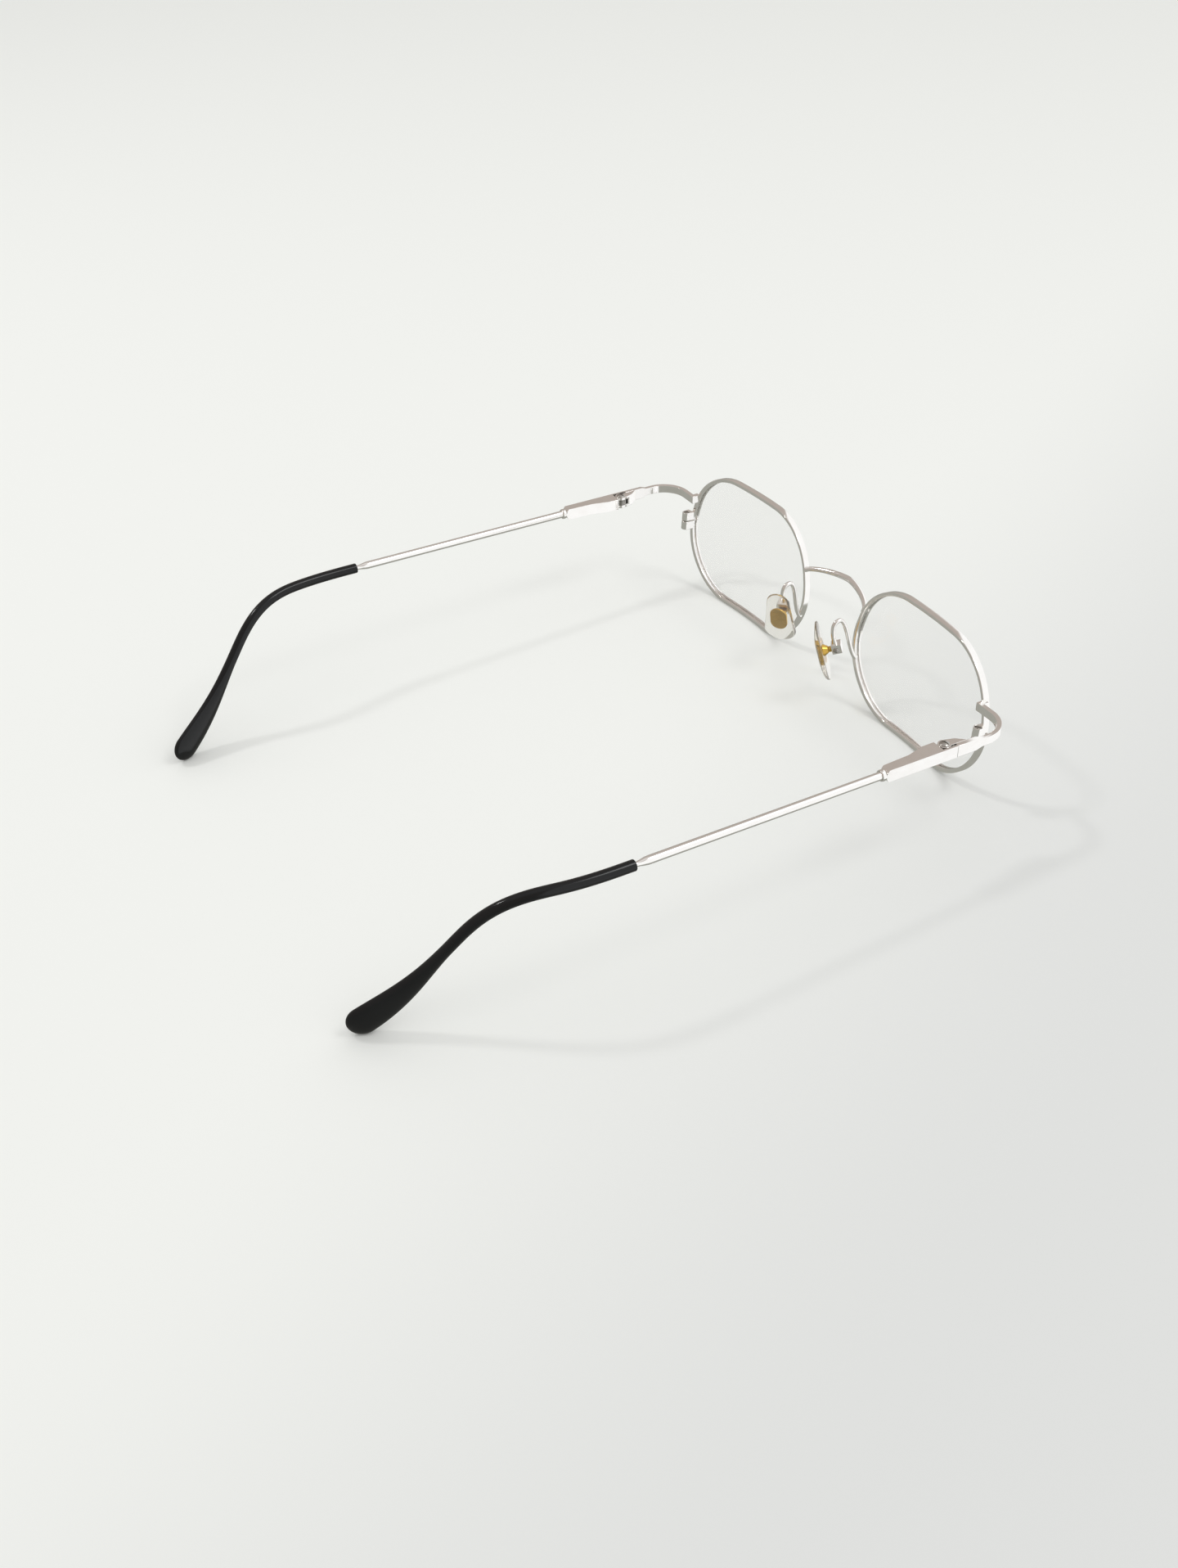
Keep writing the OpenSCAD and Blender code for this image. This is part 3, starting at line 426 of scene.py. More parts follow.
def formed(source, kind, inputs=(), **options):
    """The plain mesh that a modifier makes of a mesh, with its options and a tree's inputs by their identifiers."""
    seed = placed("seed", source)
    modifier = seed.modifiers.new("form", kind)
    for option, value in options.items():
        setattr(modifier, option, value)
    for identifier, value in inputs:
        modifier[identifier] = value
    graph = bpy.context.evaluated_depsgraph_get()
    mesh = bpy.data.meshes.new_from_object(seed.evaluated_get(graph), depsgraph=graph)
    seed.modifiers.remove(modifier)
    bpy.data.objects.remove(seed)
    return mesh


def piece(name, mesh, slot, smooth_angle, *nodes):
    """Makes a mesh the finished piece that stands for some CAD nodes, rides on their body and has their slot."""
    mesh.name = name
    mesh.materials.clear()
    mesh.materials.append(finish_of(slot))
    thing = placed(name, mesh)
    chosen = {"selected_objects": [thing], "selected_editable_objects": [thing]}
    with bpy.context.temp_override(object=thing, active_object=thing, **chosen):
        bpy.ops.object.shade_smooth_by_angle(angle=math.radians(smooth_angle))
    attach(thing, body_of(frame["nodes"][nodes[0]])[0])
    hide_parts(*nodes)


def pair(name, node, slot, smooth_angle, make):
    """The left and the right piece of one kind, from a function that gives the mesh of a side."""
    for side in SIDES:
        piece(f"{name}_{side}", make(side), slot, smooth_angle, f"{side}_{node}")


# Node trees

MATH = "ShaderNodeMath"
VECTOR_MATH = "ShaderNodeVectorMath"
RAMP = "ShaderNodeMapRange"
ATTRIBUTE = "GeometryNodeInputNamedAttribute"
BOOLEAN = "GeometryNodeMeshBoolean"


def feed(tree, socket, value):
    """Gives an input a constant, or links it to a socket, to a node's first output in use or to a list of them."""
    if isinstance(value, list):
        for source in value:
            feed(tree, socket, source)
    elif isinstance(value, bpy.types.Node):
        feed(tree, socket, next(output for output in value.outputs if output.enabled))
    elif isinstance(value, bpy.types.NodeSocket):
        tree.links.new(value, socket)
    else:
        socket.default_value = (*value, 1) if socket.type == "RGBA" else value


def put(tree, kind, *inputs, named=None, **options):
    """Adds a node with its options. Its inputs are fed in their order, and others by name or number."""
    node = tree.nodes.new(kind)
    for option, value in options.items():
        setattr(node, option, value)
    for key, value in [*enumerate(inputs), *(named or {}).items()]:
        feed(tree, node.inputs[key], value)
    return node


def geometry_tree(name, sizes):
    """An empty geometry tree with named numbers and a material as inputs. Returns it and its input sockets."""
    tree = bpy.data.node_groups.new(name, "GeometryNodeTree")
    inputs = tree.interface
    inputs.new_socket("Geometry", in_out="INPUT", socket_type="NodeSocketGeometry")
    for label, default in sizes.items():
        kind = "NodeSocketInt" if isinstance(default, int) else "NodeSocketFloat"
        inputs.new_socket(label, in_out="INPUT", socket_type=kind).default_value = default
    inputs.new_socket("Material", in_out="INPUT", socket_type="NodeSocketMaterial")
    inputs.new_socket("Geometry", in_out="OUTPUT", socket_type="NodeSocketGeometry")
    return tree, put(tree, "NodeGroupInput").outputs


def end_tree(tree, entry, geometry, smooth=True):
    """The tree's end: shading, real geometry and material."""
    shaded = put(tree, "GeometryNodeSetShadeSmooth", geometry, named={"Shade Smooth": smooth})
    real = put(tree, "GeometryNodeRealizeInstances", shaded)
    put(tree, "NodeGroupOutput", put(tree, "GeometryNodeSetMaterial", real, named={"Material": entry["Material"]}))
    return tree


def wire_tree():
    """Sweeps a round wire along a path, whose points carry the wire's radius."""
    tree, entry = geometry_tree("wire along a path", {"Sides": 32})
    path = put(tree, "GeometryNodeMeshToCurve", entry["Geometry"])
    circle = put(tree, "GeometryNodeCurvePrimitiveCircle", named={"Resolution": entry["Sides"], "Radius": 1.0})
    radius = put(tree, ATTRIBUTE, "wire_radius", data_type="FLOAT")
    wire = put(tree, "GeometryNodeCurveToMesh", path, circle, named={"Scale": radius, "Fill Caps": True})
    return end_tree(tree, entry, wire)


def rim_tree():
    """Sweeps the rim's section round the flat outline, then bends it back onto the lens's sphere."""
    tree, entry = geometry_tree("rim round an outline", {"Base curve": 0.105})
    is_section = put(tree, ATTRIBUTE, "is_section", data_type="BOOLEAN")
    parts = put(tree, "GeometryNodeSeparateGeometry", entry["Geometry"], is_section)
    section = put(tree, "GeometryNodeMeshToCurve", parts.outputs["Selection"])
    path = put(tree, "GeometryNodeMeshToCurve", parts.outputs["Inverted"])
    level = put(tree, "GeometryNodeSetCurveNormal", path, mode="Z_UP")
    swept = put(tree, "GeometryNodeCurveToMesh", level, section, named={"Fill Caps": True})
    # At a distance d from the axis, a sphere of radius R lies R - sqrt(R * R - d * d) behind its foremost point
    base = entry["Base curve"]
    flat = put(tree, VECTOR_MATH, put(tree, "GeometryNodeInputPosition"), (1, 1, 0), operation="MULTIPLY")
    away = put(tree, VECTOR_MATH, flat, flat, operation="DOT_PRODUCT")
    square = put(tree, MATH, base, base, operation="MULTIPLY")
    left_over = put(tree, MATH, square, away, operation="SUBTRACT")
    root = put(tree, MATH, left_over, operation="SQRT")
    back = put(tree, MATH, root, base, operation="SUBTRACT")
    offset = put(tree, "ShaderNodeCombineXYZ", 0, 0, back)
    return end_tree(tree, entry, put(tree, "GeometryNodeSetPosition", swept, named={"Offset": offset}))


SCREW_LENGTHS = (
    *("Head diameter", "Head height", "Crown"),
    *("Shank diameter", "Shank length"),
    *("Slot width", "Slot depth"),
)
SCREW_SIDES, CROWN_SIDES = 48, 96
# The share of the head's height that the shank reaches into it, and the slot cutter's length in head diameters
SHANK_SHARE, CUTTER_LENGTH = 0.3, 1.5


def screw_tree():
    """Sets one slotted screw on each point, its axis along the point's own direction."""
    tree, size = geometry_tree("slotted screws on points", {**dict.fromkeys(SCREW_LENGTHS, MM), "Slot turn": 0.0})
    height, crown = size["Head height"], size["Crown"]

    def moved(shape, rise, turn=0.0):
        up, spin = (put(tree, "ShaderNodeCombineXYZ", 0, 0, value) for value in (rise, turn))
        return put(tree, "GeometryNodeTransform", shape, named={"Translation": up, "Rotation": spin})

    def barrel(radius, depth):
        return put(tree, "GeometryNodeMeshCylinder", named={"Vertices": SCREW_SIDES, "Radius": radius, "Depth": depth})

    # A crown of height c over a head of radius r is part of a ball of radius (r * r + c * c) / 2c
    radius = put(tree, MATH, size["Head diameter"], 0.5, operation="MULTIPLY")
    squares = [put(tree, MATH, value, value, operation="MULTIPLY") for value in (radius, crown)]
    twice = put(tree, MATH, crown, 2.0, operation="MULTIPLY")
    ball_radius = put(tree, MATH, put(tree, MATH, *squares, operation="ADD"), twice, operation="DIVIDE")
    ball = put(tree, "GeometryNodeMeshUVSphere", CROWN_SIDES, CROWN_SIDES, ball_radius)
    # The head is drawn twice as high and raised, so that it starts at 0, and the shank reaches into it
    head = moved(barrel(radius, put(tree, MATH, height, 2.0, operation="MULTIPLY")), height)
    ball = moved(ball, put(tree, MATH, height, ball_radius, operation="SUBTRACT"))
    crowned = put(tree, BOOLEAN, named={1: [head, ball]}, operation="INTERSECT", solver="EXACT")
    overlap = put(tree, MATH, height, SHANK_SHARE, operation="MULTIPLY")
    reach = put(tree, MATH, size["Shank length"], overlap, operation="ADD")
    middle = put(tree, MATH, overlap, put(tree, MATH, reach, 0.5, operation="MULTIPLY"), operation="SUBTRACT")
    shank = moved(barrel(put(tree, MATH, size["Shank diameter"], 0.5, operation="MULTIPLY"), reach), middle)
    whole = put(tree, BOOLEAN, named={1: [crowned, shank]}, operation="UNION", solver="EXACT")
    across = put(tree, MATH, size["Head diameter"], CUTTER_LENGTH, operation="MULTIPLY")
    deep = put(tree, MATH, size["Slot depth"], 2.0, operation="MULTIPLY")
    cutter = put(tree, "GeometryNodeMeshCube", put(tree, "ShaderNodeCombineXYZ", across, size["Slot width"], deep))
    slot = moved(cutter, height, size["Slot turn"])
    screw = put(tree, BOOLEAN, whole, slot, operation="DIFFERENCE", solver="EXACT")
    axis = put(tree, ATTRIBUTE, "screw_axis", data_type="FLOAT_VECTOR")
    facing = put(tree, "FunctionNodeAlignRotationToVector", named={"Vector": axis}, axis="Z")
    links = {"Points": size["Geometry"], "Instance": screw, "Rotation": facing}
    return end_tree(tree, size, put(tree, "GeometryNodeInstanceOnPoints", named=links), smooth=False)


def grown(source, tree, values):
    """The plain mesh that a tree grows from a mesh of points, with the tree's inputs set by name."""
    sockets = [item for item in tree.interface.items_tree if item.in_out == "INPUT" and item.name in values]
    return formed(source, "NODES", [(item.identifier, values[item.name]) for item in sockets], node_group=tree)


def drawn_wire(path, radii, sides, side="left", place=None):
    """A plated wire along a path, with its radius at each point."""
    source = bpy.data.meshes.new("wire_path")
    source.from_pydata(path, [(i, i + 1) for i in range(len(path) - 1)], [])
    source.attributes.new("wire_radius", "FLOAT", "POINT").data.foreach_set("value", radii)
    tree = bpy.data.node_groups.get("wire along a path") or wire_tree()
    return settled(grown(source, tree, {"Sides": sides, "Material": finish_of("frame_metal")}), side, place)


# Materials. Each function gives the inputs of the material's output

# The range of values in which a noise mostly lies
NOISE_MIDDLE = (0.3, 0.7)
# The shares between which scratches spread a metal's roughness, and their depth
SCRATCHED, SCRATCH_DEPTH = (0.75, 1.4), 0.0008 * MM


def speckle(tree, size, detail=3.0, stretch=(1, 1, 1)):
    """A noise whose features are about as large as the size in metres, on object coordinates."""
    place = put(tree, "ShaderNodeTexCoord").outputs["Object"]
    scale = tuple(k / size for k in stretch)
    fitted = put(tree, "ShaderNodeMapping", place, named={"Scale": scale}, vector_type="POINT")
    links = {"Vector": fitted, "Scale": 1.0, "Detail": detail, "Roughness": 0.55}
    return put(tree, "ShaderNodeTexNoise", named=links)


def clouded(tree, noise, first, second):
    """Two close colours in soft patches."""
    patches = put(tree, RAMP, noise, *NOISE_MIDDLE, 0, 1)
    return put(tree, "ShaderNodeMix", named={0: patches, 6: first, 7: second}, data_type="RGBA")


def metal(tree, colour, worn, polish, scratch):
    """A metal: two close tones where it is handled, and scratches along it in its polish.

    Real scratches are some hundredths of a millimetre apart. They are drawn coarser, so that they show.
    """
    grain = speckle(tree, scratch, detail=4.0, stretch=(1, 0.2, 1))
    sockets = {
        "Metallic": 1.0,
        "Base Color": clouded(tree, speckle(tree, 3 * MM), colour, worn),
        "Roughness": put(tree, RAMP, grain, *NOISE_MIDDLE, *scaled(SCRATCHED, polish)),
        "Normal": put(tree, "ShaderNodeBump", named={"Height": grain, "Distance": SCRATCH_DEPTH, "Strength": 1.0}),
    }
    return {"Surface": put(tree, "ShaderNodeBsdfPrincipled", named=sockets)}


def mirror_rays(tree):
    """1 for rays that a shiny surface has mirrored, 0 for rays that have only come through a lens."""
    return put(tree, MATH, put(tree, "ShaderNodeLightPath").outputs["Glossy Depth"], 1.0, operation="MINIMUM")


def see_through(tree, shader, shade, straight=0.0):
    """Lets light pass to what lies behind, tinted, where the renderer would otherwise cast a solid shadow.

    The share that goes straight through is for a coated pane, which hardly mirrors or bends what is behind it.
    """
    shadow = put(tree, "ShaderNodeLightPath").outputs["Is Shadow Ray"]
    passing = put(tree, MATH, shadow, straight, operation="MAXIMUM")
    return put(tree, "ShaderNodeMixShader", passing, shader, put(tree, "ShaderNodeBsdfTransparent", shade))


def scaled(values, factor):
    """Each of some values times a factor, such as a colour made darker."""
    return tuple(factor * value for value in values)


def palladium_plating(tree):
    """Palladium plating on nickel silver, buffed: bright, slightly warm, with faint buffing lines."""
    f = settings("finishes")
    return metal(tree, f.silver, f.silver_shade, f.polish, scratch=0.35 * MM)


def turned_steel(tree):
    """Stainless steel turned on a lathe: a little greyer and duller than the plating."""
    steel = settings("finishes").steel
    return metal(tree, steel, scaled(steel, 0.8), polish=0.26, scratch=0.12 * MM)


def drawn_spring_steel(tree):
    """Spring steel drawn through a die: grey, with lines along the wire."""
    steel = settings("finishes").steel
    return metal(tree, scaled(steel, 0.8), scaled(steel, 0.6), polish=0.32, scratch=0.2 * MM)


def free_cutting_brass(tree):
    """Brass turned to a bush: yellow, soft gloss."""
    brass = settings("finishes").brass
    return metal(tree, brass, scaled(brass, 0.85), polish=0.28, scratch=0.15 * MM)


def gold_plating(tree):
    """Gold plating on a stamped brass plate: deep yellow with a soft gloss."""
    gold = settings("finishes").gold
    return metal(tree, gold, scaled(gold, 0.82), polish=0.2, scratch=0.25 * MM)


def black_acetate(tree):
    """Black cellulose acetate, tumbled to a gloss: deep black with a clear sheen and a very slight waviness."""
    black = settings("finishes").acetate
    cloud = speckle(tree, 6 * MM)
    sockets = {
        "Base Color": clouded(tree, cloud, black, scaled(black, 1.35)),
        "Roughness": put(tree, RAMP, speckle(tree, 0.8 * MM, detail=4.0), *NOISE_MIDDLE, 0.12, 0.2),
        "Normal": put(tree, "ShaderNodeBump", named={"Height": cloud, "Distance": 0.02 * MM, "Strength": 1.0}),
        "IOR": 1.48,
        "Specular IOR Level": 0.22,
        "Coat Weight": 0.2,
        "Coat Roughness": 0.04,
    }
    return {"Surface": put(tree, "ShaderNodeBsdfPrincipled", named=sockets)}


def clear_silicone(tree):
    """Clear soft plastic, moulded in a polished die: almost colourless, with a faint warm tint and soft gloss."""
    f = settings("finishes")
    sockets = {
        "Base Color": f.pad,
        "Roughness": put(tree, RAMP, speckle(tree, 0.7 * MM), *NOISE_MIDDLE, 0.03, 0.08),
        "Transmission Weight": 0.93,
        "IOR": 1.41,
        "Specular IOR Level": 0.5,
    }
    surface = see_through(tree, put(tree, "ShaderNodeBsdfPrincipled", named=sockets), shade=(0.86, 0.84, 0.78))
    depth = {"Color": f.pad_depth, "Density": 60.0}
    return {"Surface": surface, "Volume": put(tree, "ShaderNodeVolumeAbsorption", named=depth)}


def lens_plastic(tree):
    """Clear lens plastic, cast and coated: colourless, with only faint reflections."""
    sockets = {
        "Base Color": settings("finishes").lens,
        "Roughness": put(tree, RAMP, speckle(tree, 9 * MM, detail=2.0), *NOISE_MIDDLE, 0.0, 0.012),
        "Transmission Weight": 1.0,
        "IOR": 1.5,
        "Specular IOR Level": 0.15,
    }
    shader = put(tree, "ShaderNodeBsdfPrincipled", named=sockets)
    return {"Surface": see_through(tree, shader, shade=(0.99, 0.99, 0.99), straight=0.94)}


def coated(finish):
    """The material of a finish, named after its function and made once."""
    material = bpy.data.materials.get(finish.__name__)
    if not material:
        material = bpy.data.materials.new(finish.__name__)
        material.use_nodes = True
        material.node_tree.nodes.clear()
        put(material.node_tree, "ShaderNodeOutputMaterial", named=finish(material.node_tree))
    return material


FINISHES = {
    "frame_metal": palladium_plating,
    "screw_steel": turned_steel,
    "slider_steel": drawn_spring_steel,
    "bush_brass": free_cutting_brass,
    "pad_gold": gold_plating,
    "tip_plastic": black_acetate,
    "pad_clear": clear_silicone,
    "lens": lens_plastic,
}


def finish_of(slot):
    """The material of one of the record's slots."""
    return coated(FINISHES[slot])


# Pieces


def rim_section():
    """The rim's section: across its width, then along its depth, with the lens groove on its inner side."""
    s = settings("front_sizes")
    half, groove = s.rim_depth / 2 + s.rim_lip, s.groove_width / 2
    return rounded_profile(
        [
            (0, -half, s.lip_round),
            (s.rim_width, -half, s.rim_round),
            (s.rim_width, half, s.rim_round),
            (0, half, s.lip_round),
            (0, groove, 0),
            (s.groove_depth, groove, 0),
            (s.groove_depth, -groove, 0),
            (0, -groove, 0),
        ]
    )


class RIMS_OT_build(bpy.types.Operator):
    """Sweep both rims round the lens outline"""

    bl_idname = "eyeglasses.rims"
    bl_label = "Rims"

    def execute(self, context):
        s = settings("front_sizes")
        slit_low, slit_high = s.slit_height - s.slit / 2, s.slit_height + s.slit / 2
        loop = outline(0)
        first = next(i for i, p in enumerate(loop) if p.y > slit_high)
        below = [p for p in loop[:first] if p.y < slit_low]
        path = [outline_at(slit_high), *loop[first:], *below, outline_at(slit_low)]
        section = rim_section()
        count, sides = len(path), len(section)
        edges = [(i, i + 1) for i in range(count - 1)]
        edges += [(count + i, count + (i + 1) % sides) for i in range(sides)]
        source = bpy.data.meshes.new("rim_path")
        source.from_pydata([(*p, 0) for p in path + section], edges, [])
        flags = source.attributes.new("is_section", "BOOLEAN", "POINT")
        flags.data.foreach_set("value", [i >= count for i in range(count + sides)])
        tree, values = rim_tree(), {"Base curve": s.base, "Material": finish_of("frame_metal")}
        place = lens_frame() @ Matrix.Rotation(math.radians(90), 4, "X")
        pair("rim_channel", "rim", "frame_metal", 30, lambda side: settled(grown(source, tree, values), side, place))
        return {"FINISHED"}


class LENSES_OT_build(bpy.types.Operator):
    """Form both lenses with their bevelled edge"""

    bl_idname = "eyeglasses.lenses"
    bl_label = "Lenses"

    def execute(self, context):
        s = settings("front_sizes")
        half, edge = s.lens_thickness / 2, s.groove_width / 2 - s.lens_gap
        blunt = 0.35 * edge  # half width of the bevel's flat tip
        inner, outer = outline(-s.lens_gap), outline(s.groove_depth - s.lens_gap)
        steps = 20
        discs = [[p * k / steps for p in inner] for k in range(1, steps + 1)]

        def shell(points, offset):
            return [Vector((p.x, sag(p.x, p.y, s.base) - offset, p.y)) for p in points]

        rings = [shell(disc, half) for disc in discs]
        rings += [shell(inner, edge), shell(outer, blunt), shell(outer, -blunt), shell(inner, -edge)]
        rings += [shell(disc, -half) for disc in reversed(discs)]
        ends = [Vector((0, -half, 0)), Vector((0, half, 0))]
        pair("lens_blank", "lens", "lens", 25, lambda side: lofted(rings, side, lens_frame(), ends))
        return {"FINISHED"}


def soldered(path, radii, reach, swell):
    """Radii of a wire with a soft bead of solder at each end."""
    along = [0.0]
    for a, b in zip(path, path[1:]):
        along.append(along[-1] + (b - a).length)
    near = [min(travel, along[-1] - travel) / reach for travel in along]
    return [radius * (1 + swell * math.exp(-x * x)) for radius, x in zip(radii, near)]


class BRIDGE_OT_build(bpy.types.Operator):
    """Arch the bridge wire between the rims"""

    bl_idname = "eyeglasses.bridge"
    bl_label = "Bridge"

    def execute(self, context):
        s = settings("front_sizes")
        foot = rim_foot(corner=1, rise=s.bridge_angle, sunk=0.6)
        top = Vector((0, front_shift() - s.bridge_forward, lens_centre().z + s.bridge_rise))
        # Half of the arch is a rounded quarter, cut short at its steep end and stretched from top to foot
        last, steps, power = math.radians(80), 40, 2 / s.bridge_power
        far_x, far_y = math.sin(last) ** power, math.cos(last) ** power
        half = []
        for i in range(steps + 1):
            a = last * i / steps
            out, up = math.sin(a) ** power / far_x, (math.cos(a) ** power - far_y) / (1 - far_y)
            half.append(Vector((foot.x * out, foot.y + (top.y - foot.y) * up, foot.z + (top.z - foot.z) * up)))
        path = [Vector((-p.x, p.y, p.z)) for p in reversed(half[1:])] + half
        away = [smooth_step(abs(i - steps) / steps) for i in range(len(path))]
        radii = [(s.bridge_wire + (s.bridge_end - s.bridge_wire) * part) / 2 for part in away]
        radii = soldered(path, radii, reach=0.7 * MM, swell=0.3)
        piece("bridge_arch", drawn_wire(path, radii, sides=40), "frame_metal", 50, "bridge")
        return {"FINISHED"}


def bezier(p, t):
    """A point of a cubic curve."""
    u = 1 - t
    return u**3 * p[0] + 3 * t * u * u * p[1] + 3 * t * t * u * p[2] + t**3 * p[3]


class ARMS_OT_build(bpy.types.Operator):
    """Bend the looped pad arms"""

    bl_idname = "eyeglasses.pad_arms"
    bl_label = "Pad arms"

    def execute(self, context):
        p = settings("pad_sizes")
        foot = rim_foot(corner=2, rise=-p.arm_angle, sunk=0.5)
        leaving = Vector((0, 2 * MM, 1.7 * MM))  # way and reach of the curve behind the rim
        pivot = Vector(JOINTS["left_pad_rock"]["pos_m"])
        along_pad = pad_frame().to_3x3() @ UP
        loop = pivot + Vector((-p.loop_inward, -p.loop_forward, p.loop_height))
        end = pivot + along_pad * (p.box_top - 0.2 * MM)  # a little inside the box's top
        swing = Vector((0, p.loop_round, 0))
        rise = [foot, foot + leaving, loop - swing, loop]
        upright = along_pad * 0.4 * p.loop_height  # how far the wire stays in line with the pad
        fall = [loop, loop + swing, end + upright, end]
        steps = 28
        path = [bezier(rise, i / steps) for i in range(steps + 1)]
        path += [bezier(fall, i / steps) for i in range(1, steps + 1)]
        radii = soldered(path, [p.arm_wire / 2] * len(path), reach=0.5 * MM, swell=0.35)
        pair("pad_arm_wire", "pad_arm", "frame_metal", 50, lambda side: drawn_wire(path, radii, 28, side))
        return {"FINISHED"}


def temple_heading(travel):
    """Direction of the temple's line in the temple frame, at a distance behind the tip's start."""
    t = settings("temple_sizes")
    turn = t.inward * smooth_step(travel / t.inward_length)
    down = t.bend * smooth_step((travel - t.bend_start) / t.bend_length)
    down -= t.lift * smooth_step((travel - t.lift_start) / t.lift_length)
    return Vector((-math.sin(turn) * math.cos(down), math.cos(turn) * math.cos(down), -math.sin(down)))


def tip_line(stations):
    """Points of the tip's line at the given distances."""
    t = settings("temple_sizes")
    points = [Vector((t.rod_out, t.tip_start, 0))]
    for a, b in zip(stations, stations[1:]):
        points.append(points[-1] + temple_heading((a + b) / 2) * (b - a))
    return points


class WIRES_OT_build(bpy.types.Operator):
    """Draw the temple wires, which narrow before the tips and run on inside them"""

    bl_idname = "eyeglasses.temple_wires"
    bl_label = "Temple wires"

    def execute(self, context):
        t = settings("temple_sizes")
        start, neck = t.box_length - t.root, t.tip_start - t.neck
        wire_steps, neck_steps, core_steps = 30, 12, 60
        straight = [start + (neck - start) * i / wire_steps for i in range(wire_steps + 1)]
        narrow = [neck + t.neck * i / neck_steps for i in range(1, neck_steps)]
        stations = [t.core_length * i / core_steps for i in range(core_steps + 1)]
        path = [Vector((t.rod_out, y, 0)) for y in straight + narrow] + tip_line(stations)
        radii = [t.wire / 2] * len(straight)
        radii += [(t.wire + (t.core - t.wire) * smooth_step((y - neck) / t.neck)) / 2 for y in narrow]
        radii += [t.core / 2] * len(stations)
        place = temple_frame()
        name, node = "temple_wire_drawn", "temple_wire"
        pair(name, node, "frame_metal", 40, lambda side: drawn_wire(path, radii, 36, side, place))
        return {"FINISHED"}


def oval_ring(centre, heading, half_wide, half_high, power=2, sides=48):
    """A ring of points square to a heading, with its height upright."""
    wide = heading.cross(UP).normalized()
    high = wide.cross(heading)
    points = []
    for k in range(sides):
        a = 2 * math.pi * k / sides
        x = math.copysign(abs(math.cos(a)) ** (2 / power), math.cos(a))
        y = math.copysign(abs(math.sin(a)) ** (2 / power), math.sin(a))
        points.append(centre + wide * half_wide * x + high * half_high * y)
    return points


class TIPS_OT_build(bpy.types.Operator):
    """Loft the black tips from their round sleeve to the flat paddle"""

    bl_idname = "eyeglasses.temple_tips"
    bl_label = "Temple tips"

    def execute(self, context):
        t = settings("temple_sizes")
        body, bore, ahead = t.tip_length - t.paddle_round, t.core / 2 + t.tip_play, temple_heading(0)
        # Stations: close at the rounded lip, even along the body, and closer and closer round the end
        lip_steps, body_steps, end_steps, end_turn = 5, 110, 16, 89.5
        stations = [t.tip_lip * k / lip_steps for k in range(lip_steps + 1)]
        even = [body * i / body_steps for i in range(1, body_steps + 1)]
        stations += [travel for travel in even if travel > 1.5 * t.tip_lip]
        turns = [math.radians(end_turn * i / end_steps) for i in range(1, end_steps + 1)]
        stations += [body + t.paddle_round * math.sin(a) for a in turns]
        line = tip_line(stations)
        rings = [oval_ring(line[0] + ahead * depth, ahead, bore, bore) for depth in (t.tip_mouth, 0)]
        for travel, centre in zip(stations, line):
            heading = temple_heading(travel)
            flat = smooth_step((travel - t.paddle_start) / t.paddle_grow)
            end = math.sqrt(1 - (max(travel - body, 0) / t.paddle_round) ** 2)
            inset = t.tip_lip - math.sqrt(t.tip_lip**2 - max(t.tip_lip - travel, 0) ** 2)
            wide = end * (t.tip_wide + (t.paddle_thick - t.tip_wide) * flat) / 2 - inset
            high = end * (t.tip_wide + (t.paddle_high - t.tip_wide) * flat) / 2 - inset
            upright = (UP - heading * heading.z).normalized()
            hung = centre - upright * t.paddle_drop * flat
            # The section turns from an ellipse, whose power is 2, to a slightly squarer one
            rings.append(oval_ring(hung, heading, wide, high, power=2 + 0.5 * flat))
        place = temple_frame()
        name, node = "temple_tip_sleeve", "temple_tip"
        pair(name, node, "tip_plastic", 40, lambda side: lofted(rings, side, place))
        return {"FINISHED"}


def drop_outline(long, low_width, high_width, sides=96):
    """The pad's drop outline as points (along the pad, across it): two arcs, the wider one below."""
    low, high = low_width / 2, high_width / 2
    low_at, high_at = low - long / 2, long / 2 - high
    reach = math.pi / 2 - math.asin((low - high) / (high_at - low_at))
    half = sides // 2
    points = []
    for centre, radius, way in ((low_at, low, -1), (high_at, high, 1)):
        for k in range(half + 1):
            a = way * reach * (1 - 2 * k / half)
            points.append((centre + way * radius * math.cos(a), radius * math.sin(a)))
    return points


